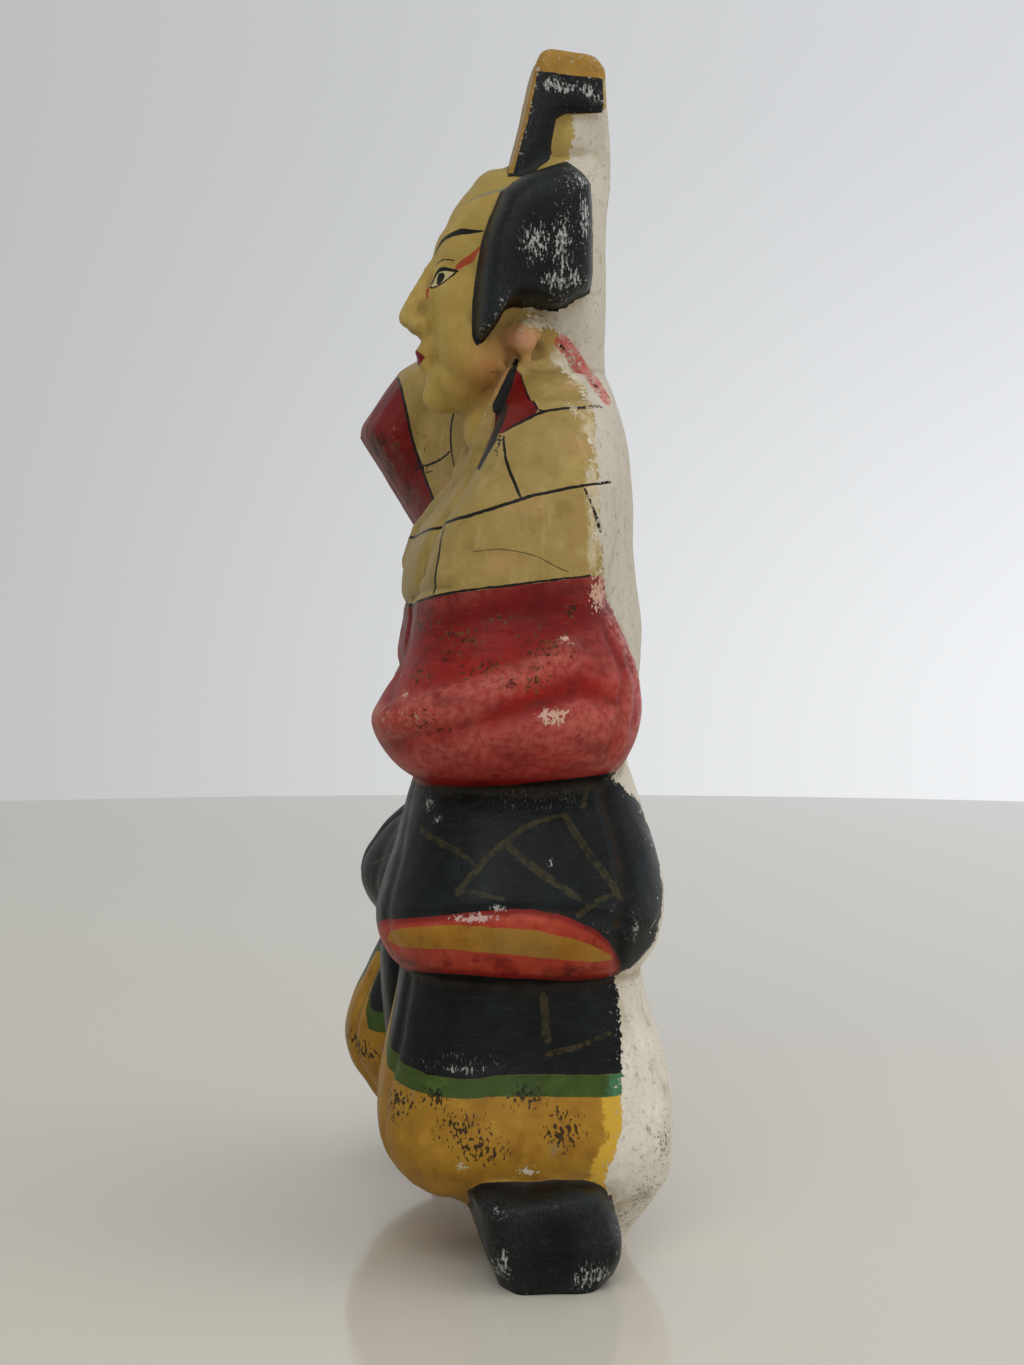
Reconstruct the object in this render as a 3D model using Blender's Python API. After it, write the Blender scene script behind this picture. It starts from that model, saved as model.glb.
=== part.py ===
"""A moulded clay kabuki figure in a wide stance, one closed casting.

It faces -Y, its left side is +X, and it stands on z = 0. Metres.
"""

import math

import bmesh
import bpy
import numpy as np
from mathutils import Matrix, Vector

# Driving dimensions
HEIGHT = 0.357
SOLID_TRIANGLES = 7800

# The carving is stated in figure units: U is a 357th of the height, 1 mm at the real size.
UNITS_HIGH = 357
U = HEIGHT / UNITS_HIGH

SKIN_DETAIL = 2.1
RING_POINTS = 40
STEPS_BETWEEN_ROWS = 4
DOME_STEPS = 8
POLE_LATITUDE = 84
SMOOTH_PASSES = 3
# Forms that meet the table run this far below it before the soles are cut flat.
BELOW_TABLE = 5

CLAY_COLOUR = (0.60, 0.42, 0.17, 1.0)
CLAY_ROUGHNESS = 0.6

# Rows of an upright form: height, left edge, right edge, front, back, squareness.
# The two trouser legs, stated for the figure's left side and mirrored for the other.
LEG = [
    (0 - BELOW_TABLE, 33, 61, -8, 27, 2.4),
    (5, 33, 62, -9, 30, 2.4),
    (12, 30, 66, -15, 35, 2.4),
    (18, 24, 74, -26, 38, 2.5),
    (23, 16, 82, -37, 40, 2.7),
    (33, 9, 86, -43.5, 41.5, 2.7),
    (46, 8, 83, -44, 41.5, 2.6),
    (60, 8, 77, -41.5, 39, 2.6),
    (77, 7, 73, -38, 34, 2.6),
    (96, 6, 70, -35, 32, 2.5),
]
# The right leg strides forward, so its hem stands further out in front.
RIGHT_HEM = [
    (14, -66, -34, -27, 0, 2.2),
    (24, -78, -24, -39.5, 12, 2.3),
    (31, -81, -18, -44, 18, 2.4),
    (38, -82, -15, -48.5, 20, 2.4),
    (47, -80, -13, -50.3, 20, 2.4),
    (57, -77, -12, -48.5, 20, 2.4),
    (67, -73, -13, -44.3, 20, 2.3),
    (78, -70, -14, -39, 20, 2.2),
]
# The black skirt over the left thigh flares to a hem that turns under.
SKIRT = [
    (81, 6, 71, -33, 31, 2.5),
    (84, 3, 79, -39, 34, 2.6),
    (90, 1, 84, -43, 37, 2.7),
    (98, 0, 87, -44.6, 38.5, 2.8),
    (107, 0, 85, -42.2, 39, 2.8),
    (118, 0, 79, -38.5, 37, 2.8),
    (130, 0, 72, -35, 33.5, 2.7),
    (142, 0, 65, -31, 30, 2.6),
]
# Over the right thigh it falls back above a round fold that the thigh pushes out.
RIGHT_SKIRT = [
    (81, -71, -6, -31, 31, 2.5),
    (84, -79, -3, -36, 34, 2.6),
    (90, -84, -1, -39, 37, 2.7),
    (98, -87, 0, -42, 38.5, 2.8),
    (107, -85, 0, -40, 39, 2.8),
    (118, -79, 0, -33, 37, 2.8),
    (124, -76, 0, -28.5, 35.5, 2.8),
    (130, -72, 0, -27, 33.5, 2.7),
    (142, -65, 0, -26, 30, 2.6),
]
# Between the thighs the robe is filled, and its back is a plain moulded face.
SKIRT_MIDDLE = [
    (85, -34, 34, -33, 28, 3.0),
    (96, -40, 40, -38, 37, 3.0),
    (112, -40, 40, -36, 38, 3.0),
    (124, -40, 40, -31.5, 37, 3.0),
    (142, -40, 40, -27, 34, 3.0),
]
RIGHT_THIGH = [
    (80, -74, -20, -34, 10, 2.1),
    (87, -80, -14, -39.5, 16, 2.1),
    (92, -83, -11, -43.2, 18, 2.1),
    (98, -84, -10, -45.5, 20, 2.1),
    (105, -83, -10, -44.3, 20, 2.1),
    (111, -80, -11, -40.7, 19, 2.1),
    (117, -77, -13, -36.2, 17, 2.1),
    (123, -70, -18, -29, 14, 2.1),
]
# The robe's end hangs in a flat panel between the legs.
FRONT_FLAP = [
    (45, -8, 8, -37, -31, 2.6),
    (50, -13, 13, -39, -30, 3.0),
    (62, -15, 15, -40, -29, 3.2),
    (76, -17, 17, -41, -24, 3.2),
    (92, -20, 20, -41, 4, 3.0),
]
# The red robe bunched round the waist, fuller over the left hip.
WAIST = [
    (136, -57, 56, -30, 27, 2.6),
    (141, -64, 62, -35, 31, 2.6),
    (153, -71, 66, -37.5, 34, 2.5),
    (167, -70, 66, -36, 35, 2.5),
    (181, -62, 64, -34, 35, 2.5),
    (192, -56, 60, -32, 34, 2.5),
]
HIP_SLEEVE = [
    (136.5, 24, 69, -31, 22, 2.4),
    (140, 17, 78, -37, 25.5, 2.5),
    (146, 13, 84, -42.5, 29, 2.6),
    (154, 11, 87.5, -46, 31.3, 2.6),
    (162, 11, 86, -42.5, 31.8, 2.6),
    (173, 11, 80, -35.5, 29.8, 2.6),
    (184, 12, 74, -33.5, 25.5, 2.6),
    (193, 14, 70, -32, 20, 2.6),
    (197, 18, 64, -28, 15, 2.4),
]
TORSO = [
    (150, -56, 58, -31, 35, 2.6),
    (176, -56, 61, -32.5, 37.8, 2.6),
    (192, -56, 62, -34, 36.3, 2.6),
    (206, -55, 62, -31.5, 35.2, 2.5),
    (219, -54, 60, -23, 35, 2.5),
    (230, -52, 57, -16, 34.5, 2.4),
    (241, -46, 50, -11, 33, 2.3),
    (250, -37, 40, -8, 31, 2.2),
    (257, -26, 28, -7, 29, 2.1),
]
# The left shoulder and upper arm, close to the body, the hand drawn up inside the sleeve.
LEFT_ARM = [
    (170, 36, 74, -30, 19, 2.4),
    (192, 36, 74, -31, 21, 2.4),
    (207, 33, 73, -27, 24, 2.3),
    (222, 29, 70, -18, 26, 2.3),
    (236, 24, 62, -11, 26, 2.2),
    (247, 20, 49, -6, 23, 2.1),
]
NECK = [
    (238, -19, 19, -15, 27, 2.1),
    (252, -16, 16, -15, 27, 2.1),
    (268, -16, 16, -13, 27, 2.1),
    (282, -17, 17, -12, 27, 2.1),
]
BACK_OF_HEAD = [
    (254, -18, 18, 0, 28.5, 2.2),
    (276, -22, 22, 0, 28.5, 2.4),
    (296, -24, 24, 0, 28.5, 2.4),
    (312, -20, 20, 0, 29, 2.3),
    (324, -12, 12, 4, 29, 2.2),
]

# Rows of a form that runs outward along X: distance, front, back, bottom, top, squareness.
RIGHT_SHOULDER = [
    (-20, -12, 28, 204, 254, 2.3),
    (-38, -20, 26, 206, 261, 2.2),
    (-52, -28, 22, 208, 266, 2.0),
    (-64, -34, 18, 211, 268, 1.9),
]
# Outlines seen from the side, as front-to-back and height, with how each narrows along its width,
# as distance across and share of the outline.
# The full sleeve of the raised arm, with its corner forward.
RIGHT_SLEEVE = [
    (-30, 267.5), (-36.5, 258.5), (-43.2, 248), (-43.5, 244.5), (-34, 229), (-24.5, 214),
    (-19, 209), (-9, 207.5), (3, 210), (10, 220), (12, 240), (9, 258), (1, 268), (-10, 272), (-22, 272),
]
RIGHT_SLEEVE_WIDTH = [(50, 0.66), (59, 0.88), (70, 0.97), (84, 1), (91, 0.98), (95.5, 0.91), (98, 0.76)]
FOOT = [
    (-20.5, 24.5), (-17.5, 26.6), (-8, 27.1), (3, 27.5), (11, 27), (15.5, 25.4), (19.3, 21.5),
    (21.8, 14), (21.4, 7.5), (18.5, 2), (13, 0 - BELOW_TABLE), (-10, 0 - BELOW_TABLE), (-13.5, 2.5),
    (-16.4, 8), (-18.2, 15), (-19.8, 22.5),
]
FOOT_WIDTH = [
    (34, 0.94), (60, 1), (82, 1), (88, 0.985), (92, 0.955), (95, 0.9), (97.5, 0.82), (99.2, 0.7),
    (99.9, 0.55),
]
# The topknot.
TOPKNOT_STRAP = [
    (-3, 312), (-1.4, 320), (2.9, 336), (6.1, 351), (7.6, 355.4), (10, 357), (24.5, 355.2),
    (27.6, 351), (27.8, 339), (15, 338.5), (11.5, 336.5), (10, 328), (9, 314),
]
TOPKNOT_CORE = [(3, 310), (7, 349), (27.2, 349), (29.5, 331), (29.9, 316), (27.5, 300)]
STRAP_HALF_WIDTH = 11.5
CORE_HALF_WIDTH = 9
# The side hair, drawn out from the temple in a thick wing with a point cut down the jaw.
SIDE_HAIR = [
    (-12.8, 265.5), (-10.2, 268.5), (-6.8, 273.5), (-5.6, 276.5), (-2.6, 277.8), (4.3, 277.8),
    (10, 275.8), (13, 276.6), (17.4, 279.6), (21, 281.4), (22, 286.4), (22, 302), (21.4, 314.5),
    (18.3, 317.8), (14, 320.8), (7.9, 319), (1.6, 316.6), (-4.7, 312), (-8.5, 303.3),
    (-10.9, 295.9), (-12.7, 283.4), (-13.4, 276.9), (-13.6, 268),
]
SIDE_HAIR_WIDTH = [(5, 0.98), (15, 1), (22, 0.995), (28, 0.96), (32, 0.89), (34.5, 0.78), (35.3, 0.64)]

# Balls of clay that build the head and face: centre, then half-sizes along X, Y and Z.
HEAD_BALLS = [
    ((0, 1, 293), (24.5, 23.5, 28)),
    ((0, -13, 294), (18.5, 11.5, 13)),
    ((0, -7, 279), (22, 20, 30)),
    ((0, -14.5, 257.5), (14.5, 12.5, 11)),
    ((0, -20.5, 252), (7.5, 7.5, 5.5)),
    ((0, -19, 267.5), (10.5, 9.2, 8)),
    ((0, -4, 312), (14, 9.5, 10)),
]
MIRRORED_HEAD_BALLS = [
    ((10.5, -11.5, 267), (11, 12.5, 14)),
    ((3.4, -29.5, 273.2), (2.7, 3.0, 2.4)),
    ((21.6, 1.5, 268), (3.6, 4.2, 5.6)),
]
NOSE = [((0, -24.3, 291), 2.6), ((0, -32.2, 276), 3.4)]
LIPS = [
    ((0, -27.6, 265.4), (5.6, 2.6, 1.8)),
    ((0, -27.0, 261.6), (4.6, 2.7, 1.9)),
]
RIGHT_FOREARM = [((-84, -6, 256), 12.5), ((-84, -3, 282), 10.5)]
CUFF_CENTRE = (-83, -5.5, 269)
CUFF_RADIUS = 12.5
CUFF_ROLL = 3.4
CUFF_POINTS = 16
RIGHT_FIST_CENTRE = (-84, -2.5, 292)
PALM_HALF_SIZES = (12, 10.5, 13.5)
FINGERS = 4
FINGER_RADIUS = 3.9
FINGER_PITCH = 6
FINGER_LENGTH = 13
FINGER_SINK = 1
FINGER_SLANT = 2
THUMB = [((-72.5, -7, 290), 4), ((-77, -13.5, 283), 3.6)]

# The neck bands of the robe, from the nape over each shoulder. The left one laps over the right.
COLLAR_ROLL = 2.7
LEFT_COLLAR = [
    (9, 24, 260), (17.5, 11, 260), (21.5, -2, 257), (23.5, -8, 246), (27, -13.5, 231), (19, -17.5, 225),
    (9, -21, 220.5), (-7, -28, 211), (-18, -31, 201),
]
RIGHT_COLLAR = [
    (-9, 24, 260), (-17.5, 11, 260), (-21.5, -2, 257), (-22, -9, 246), (-14, -12.5, 236),
    (0, -16.5, 227),
]

# Grooves drawn into the clay: the side they are seen from, depth, half-width, and their line as
# distance across and height. A negative depth is a ridge.
GROOVES = [
    ("front", 2.6, 2.4, [(30, 243), (34, 228), (35, 210), (34, 193)]),
    ("front", 1.2, 1.6, [(-56, 192), (-30, 189), (0, 188), (34, 191), (68, 193)]),
    ("front", 2.2, 2.2, [(20, 188), (17, 170), (20, 150), (28, 138)]),
    ("front", 1.4, 2.6, [(-58, 178), (-30, 170), (-4, 168), (14, 172)]),
    ("front", 1.4, 2.6, [(-62, 163), (-34, 155), (-6, 153), (12, 158)]),
    ("front", 1.3, 2.4, [(30, 182), (46, 168), (66, 160)]),
    ("front", 1.8, 1.6, [(-10, 138), (-4, 118), (0, 98), (-2, 84)]),
    ("front", 1.5, 2.6, [(18, 136), (30, 116), (38, 90)]),
    ("front", 0.8, 2.6, [(40, 134), (56, 114), (66, 92)]),
    ("front", 1.5, 2.6, [(-30, 136), (-44, 116), (-50, 92)]),
    ("front", 1.0, 2.4, [(30, 82), (28, 58), (32, 26)]),
    ("front", 1.2, 2.4, [(54, 80), (58, 56), (60, 26)]),
    ("front", 1.7, 2.4, [(-32, 82), (-32, 58), (-36, 26)]),
    ("front", 1.7, 2.4, [(-56, 80), (-60, 56), (-60, 26)]),
    ("front", 0.9, 3.2, [(6, 286.5), (15, 287.5)]),
    ("front", 0.9, 3.2, [(-6, 286.5), (-15, 287.5)]),
    ("left", 2.0, 3.4, [(-42, 148), (-34, 152), (-11, 157.7), (10, 164.6), (19, 162)]),
    ("left", -2.0, 4.2, [(-46, 155), (-25.6, 160.7), (-5, 168.8), (8, 174)]),
    ("left", 1.2, 1.5, [(20, 180), (24.5, 168), (23, 156), (19, 146)]),
    ("left", 1.0, 1.3, [(26, 174), (29, 163), (27, 152)]),
    ("left", 1.5, 1.8, [(19, 134), (22, 120), (23.5, 108), (21, 96), (22.5, 84)]),
    ("left", 0.9, 1.3, [(-44, 98), (-30, 102), (-6, 103.5), (14, 102), (32, 95)]),
    ("right", 1.2, 3.2, [(-38, 150), (-20, 154), (0, 157.5), (18, 161), (33, 161)]),
    ("right", 0.9, 1.3, [(-44, 98), (-30, 102), (-6, 103.5), (14, 102), (32, 95)]),
    ("right", 2.2, 3.0, [(-19, 260), (-8, 254), (-4, 241), (-8, 227), (-19, 221), (-30, 227),
                         (-34, 241), (-30, 254), (-19, 260)]),
]
# How fast a groove fades where the skin turns away from its side.
FACING_GAIN = 3
# For each side: the axis across, the axis up, the axis towards the viewer and its direction.
SIDES = {"front": ("x", "z", "y", -1), "left": ("y", "z", "x", 1), "right": ("y", "z", "x", -1)}


def scaled(values):
    return Vector(values) * U


def eased(rows, column, position):
    """The value of one column between two rows, on a curve through the rows beside them."""
    i = min(int(position), len(rows) - 2)
    t = position - i
    before = rows[max(i - 1, 0)][column]
    a = rows[i][column]
    b = rows[i + 1][column]
    after = rows[min(i + 2, len(rows) - 1)][column]
    return a + 0.5 * t * (
        b - before + t * (2 * before - 5 * a + 4 * b - after + t * (3 * (a - b) + after - before))
    )


def round_section(low_a, high_a, low_b, high_b, squareness):
    """Points of a rounded outline between two edges each way, counter-clockwise."""
    points = []
    for k in range(RING_POINTS):
        angle = 2 * math.pi * k / RING_POINTS
        c, s = math.cos(angle), math.sin(angle)
        a = math.copysign(abs(c) ** (2 / squareness), c)
        b = math.copysign(abs(s) ** (2 / squareness), s)
        points.append(
            ((low_a + high_a + (high_a - low_a) * a) / 2, (low_b + high_b + (high_b - low_b) * b) / 2)
        )
    return points


def skin(form, rings):
    """Faces between rings of points, closed at both ends."""
    made = [[form.verts.new(point) for point in ring] for ring in rings]
    for lower, upper in zip(made, made[1:]):
        for k in range(len(lower)):
            n = (k + 1) % len(lower)
            form.faces.new((lower[k], lower[n], upper[n], upper[k]))
    form.faces.new(made[0][::-1])
    form.faces.new(made[-1])


def loft(form, rows, along, side=1):
    """A closed form through rows of sections, upright or along X, mirrored when side is -1."""
    rings = []
    count = (len(rows) - 1) * STEPS_BETWEEN_ROWS
    for step in range(count + 1):
        position = step / STEPS_BETWEEN_ROWS
        place, *edges = [eased(rows, column, position) for column in range(6)]
        ring = []
        for a, b in round_section(*edges):
            x, y, z = (a, b, place) if along == "z" else (place, a, b)
            ring.append(scaled((x * side, y, z)))
        rings.append(ring)
    skin(form, rings)


def turned(place, profile):
    """Rings round the Z axis of a placing matrix, from rows of radius and height."""
    turns = [2 * math.pi * k / RING_POINTS for k in range(RING_POINTS)]
    return [
        [place @ Vector((radius * math.cos(t), radius * math.sin(t), height)) for t in turns]
        for radius, height in profile
    ]


def dome(radius, start, end):
    """Radius and height of a ball's rings between two latitudes in degrees."""
    angles = [math.radians(start + (end - start) * k / DOME_STEPS) for k in range(DOME_STEPS + 1)]
    return [(radius * math.cos(a), radius * math.sin(a)) for a in angles]


def ball(form, centre, half_sizes):
    place = Matrix.Translation(scaled(centre)) @ Matrix.Diagonal((*scaled(half_sizes), 1))
    profile = dome(1, -POLE_LATITUDE, 0) + dome(1, 0, POLE_LATITUDE)[1:]
    skin(form, turned(place, profile))


def limb(form, ends):
    """A tapered round limb with a ball at each end."""
    (start, start_radius), (end, end_radius) = ends
    run = scaled(end) - scaled(start)
    place = Matrix.Translation(scaled(start)) @ run.to_track_quat("Z", "Y").to_matrix().to_4x4()
    lower = dome(start_radius * U, -POLE_LATITUDE, 0)
    upper = [(radius, run.length + h) for radius, h in dome(end_radius * U, 0, POLE_LATITUDE)]
    skin(form, turned(place, lower + upper))


def cord(form, points, radius):
    """A round roll of clay laid along a line of points."""
    for start, end in zip(points, points[1:]):
        limb(form, [(start, radius), (end, radius)])


def plate(form, outline, width, side):
    """A form with the same outline across its width, narrowed about its middle by each share."""
    middle_y = sum(y for y, z in outline) / len(outline)
    middle_z = sum(z for y, z in outline) / len(outline)
    rings = []
    for x, share in width:
        rings.append([
            scaled((x * side, middle_y + (y - middle_y) * share, middle_z + (z - middle_z) * share))
            for y, z in outline
        ])
    skin(form, rings)


def add_robe(form):
    skirt = (SKIRT, RIGHT_SKIRT, SKIRT_MIDDLE, RIGHT_THIGH, FRONT_FLAP)
    for rows in skirt + (WAIST, HIP_SLEEVE, TORSO, LEFT_ARM):
        loft(form, rows, "z")
    cord(form, RIGHT_COLLAR, COLLAR_ROLL)
    cord(form, LEFT_COLLAR, COLLAR_ROLL)


def add_legs(form):
    for side in (1, -1):
        loft(form, LEG, "z", side)
        plate(form, FOOT, FOOT_WIDTH, side)
    loft(form, RIGHT_HEM, "z")


def add_right_arm(form):
    """The raised arm: a full sleeve with its corner forward, and a clenched fist above it."""
    loft(form, RIGHT_SHOULDER, "x")
    plate(form, RIGHT_SLEEVE, RIGHT_SLEEVE_WIDTH, -1)
    limb(form, RIGHT_FOREARM)
    x, y, z = CUFF_CENTRE
    turns = [2 * math.pi * k / CUFF_POINTS for k in range(CUFF_POINTS + 1)]
    rim = [(x + CUFF_RADIUS * math.cos(t), y + CUFF_RADIUS * math.sin(t), z) for t in turns]
    cord(form, rim, CUFF_ROLL)
    ball(form, RIGHT_FIST_CENTRE, PALM_HALF_SIZES)
    x, y, z = RIGHT_FIST_CENTRE
    front = y - PALM_HALF_SIZES[1] + FINGER_SINK
    reach = FINGER_LENGTH / 2
    for finger in range(FINGERS):
        height = z + (finger - (FINGERS - 1) / 2) * FINGER_PITCH
        outer = (x - reach, front + FINGER_SLANT, height)
        inner = (x + reach, front, height)
        limb(form, [(outer, FINGER_RADIUS), (inner, FINGER_RADIUS)])
    limb(form, THUMB)


def add_head(form):
    loft(form, NECK, "z")
    loft(form, BACK_OF_HEAD, "z")
    for centre, half_sizes in HEAD_BALLS + LIPS:
        ball(form, centre, half_sizes)
    for (x, y, z), half_sizes in MIRRORED_HEAD_BALLS:
        ball(form, (x, y, z), half_sizes)
        ball(form, (-x, y, z), half_sizes)
    limb(form, NOSE)


def add_hair(form):
    for side in (1, -1):
        plate(form, SIDE_HAIR, SIDE_HAIR_WIDTH, side)
    for outline, half_width in (
        (TOPKNOT_CORE, CORE_HALF_WIDTH), (TOPKNOT_STRAP, STRAP_HALF_WIDTH)
    ):
        plate(form, outline, [(0 - half_width, 1), (half_width, 1)], 1)


def fused(name, add_forms, detail, passes):
    """One skin round overlapping forms, softened as wet clay is."""
    form = bmesh.new()
    for add in add_forms:
        add(form)
    bmesh.ops.recalc_face_normals(form, faces=form.faces)
    mesh = bpy.data.meshes.new(name)
    form.to_mesh(mesh)
    form.free()
    obj = bpy.data.objects.new(name, mesh)
    bpy.context.scene.collection.objects.link(obj)
    skin = obj.modifiers.new("one_skin", "REMESH")
    skin.mode = "VOXEL"
    skin.voxel_size = detail
    soften = obj.modifiers.new("soften", "SMOOTH")
    soften.factor = 0.5
    soften.iterations = passes
    return obj


def keep_evaluated_mesh(obj):
    """Puts the mesh that the modifiers make in place of the one that they start from."""
    graph = bpy.context.evaluated_depsgraph_get()
    made = bpy.data.meshes.new_from_object(obj.evaluated_get(graph))
    obj.modifiers.clear()
    obj.data = made
    made.name = obj.name


def distance_to_line(points, line):
    """How far each point of a plane is from a line of points in it."""
    nearest = np.full(len(points), np.inf)
    for start, end in zip(line, line[1:]):
        start = np.array(start, float)
        run = np.array(end, float) - start
        share = np.clip((points - start) @ run / (run @ run), 0, 1)
        nearest = np.minimum(nearest, np.linalg.norm(points - start - share[:, None] * run, axis=1))
    return nearest


def carve_grooves(obj):
    """Presses each groove into the skin that faces its side, along the skin's own direction."""
    mesh = obj.data
    points = np.empty(len(mesh.vertices) * 3, np.float32)
    mesh.vertices.foreach_get("co", points)
    points = points.reshape(-1, 3) / U
    outward = np.empty(len(mesh.vertices) * 3, np.float32)
    mesh.vertex_normals.foreach_get("vector", outward)
    outward = outward.reshape(-1, 3)
    push = np.zeros(len(points))
    for side, depth, half_width, line in GROOVES:
        *axes, direction = SIDES[side]
        across, up, towards = ["xyz".index(axis) for axis in axes]
        facing = np.clip(FACING_GAIN * direction * outward[:, towards], 0, 1)
        if side != "front":
            facing = facing * (points[:, towards] * direction > 0)
        away = distance_to_line(points[:, [across, up]], line)
        push -= depth * facing * np.exp(-((away / half_width) ** 2))
    moved = (points + outward * push[:, None]) * U
    mesh.vertices.foreach_set("co", moved.astype(np.float32).ravel())
    mesh.update()


def reduce_triangles(obj, wanted):
    """Fewer, larger faces where the form is plain."""
    obj.data.calc_loop_triangles()
    count = len(obj.data.loop_triangles)
    if count > wanted:
        fewer = obj.modifiers.new("fewer_faces", "DECIMATE")
        fewer.ratio = wanted / count
        keep_evaluated_mesh(obj)


def cut_soles_flat(obj):
    """Cuts the figure off at the table and closes each sole with one flat face."""
    form = bmesh.new()
    form.from_mesh(obj.data)
    everything = form.verts[:] + form.edges[:] + form.faces[:]
    bmesh.ops.bisect_plane(
        form, geom=everything, dist=1e-6, plane_co=(0, 0, 0), plane_no=(0, 0, 1), clear_inner=True
    )
    bmesh.ops.holes_fill(form, edges=[e for e in form.edges if e.is_boundary])
    bmesh.ops.recalc_face_normals(form, faces=form.faces)
    form.to_mesh(obj.data)
    form.free()


def centre_on_table(obj):
    """Sets the origin in the middle of the figure's length and depth, on the table."""
    xs = [v.co.x for v in obj.data.vertices]
    ys = [v.co.y for v in obj.data.vertices]
    middle = Vector(((min(xs) + max(xs)) / 2, (min(ys) + max(ys)) / 2, 0))
    obj.data.transform(Matrix.Translation(-middle))


def painted_clay():
    material = bpy.data.materials.new("painted_clay")
    material.use_nodes = True
    shader = material.node_tree.nodes["Principled BSDF"]
    shader.inputs["Base Color"].default_value = CLAY_COLOUR
    shader.inputs["Roughness"].default_value = CLAY_ROUGHNESS
    shader.inputs["Metallic"].default_value = 0.0
    material.diffuse_color = CLAY_COLOUR
    return material


def main():
    for obj in list(bpy.data.objects):
        bpy.data.objects.remove(obj)
    parts = (add_robe, add_legs, add_right_arm, add_head, add_hair)
    doll = fused("kabuki_doll", parts, SKIN_DETAIL * U, SMOOTH_PASSES)
    keep_evaluated_mesh(doll)
    carve_grooves(doll)
    reduce_triangles(doll, SOLID_TRIANGLES)
    cut_soles_flat(doll)
    centre_on_table(doll)
    doll.data.materials.clear()
    doll.data.materials.append(painted_clay())
    doll.data.shade_smooth()


main()
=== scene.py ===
"""Looks of the painted clay kabuki figure: a finer skin round the same forms, its paint and wear."""

import math

import bmesh
import bpy
import numpy as np
from mathutils import Matrix, Vector, noise
from mathutils.bvhtree import BVHTree


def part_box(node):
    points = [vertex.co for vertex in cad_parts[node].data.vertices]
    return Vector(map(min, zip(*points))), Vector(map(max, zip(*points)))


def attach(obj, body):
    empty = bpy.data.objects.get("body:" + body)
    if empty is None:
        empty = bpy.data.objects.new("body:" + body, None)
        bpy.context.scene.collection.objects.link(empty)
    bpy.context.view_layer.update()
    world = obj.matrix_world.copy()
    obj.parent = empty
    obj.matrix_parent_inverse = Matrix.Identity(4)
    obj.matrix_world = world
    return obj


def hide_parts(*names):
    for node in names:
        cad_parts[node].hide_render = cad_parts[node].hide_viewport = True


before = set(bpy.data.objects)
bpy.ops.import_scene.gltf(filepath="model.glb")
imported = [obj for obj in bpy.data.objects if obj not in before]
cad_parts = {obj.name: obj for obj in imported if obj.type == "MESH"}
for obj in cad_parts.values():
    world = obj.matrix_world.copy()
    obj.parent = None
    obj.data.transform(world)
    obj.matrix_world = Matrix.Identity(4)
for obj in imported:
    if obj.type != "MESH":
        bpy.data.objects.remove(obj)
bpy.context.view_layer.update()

# The carving is stated in figure units of a millimetre, before the figure is centred.
U = 0.001
BELOW_TABLE = 5
SKIN_DETAIL = 1.5
SMOOTH_PASSES = 2
RING_POINTS = 56
STEPS_BETWEEN_ROWS = 5
DOME_STEPS = 9
POLE_LATITUDE = 84

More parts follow.
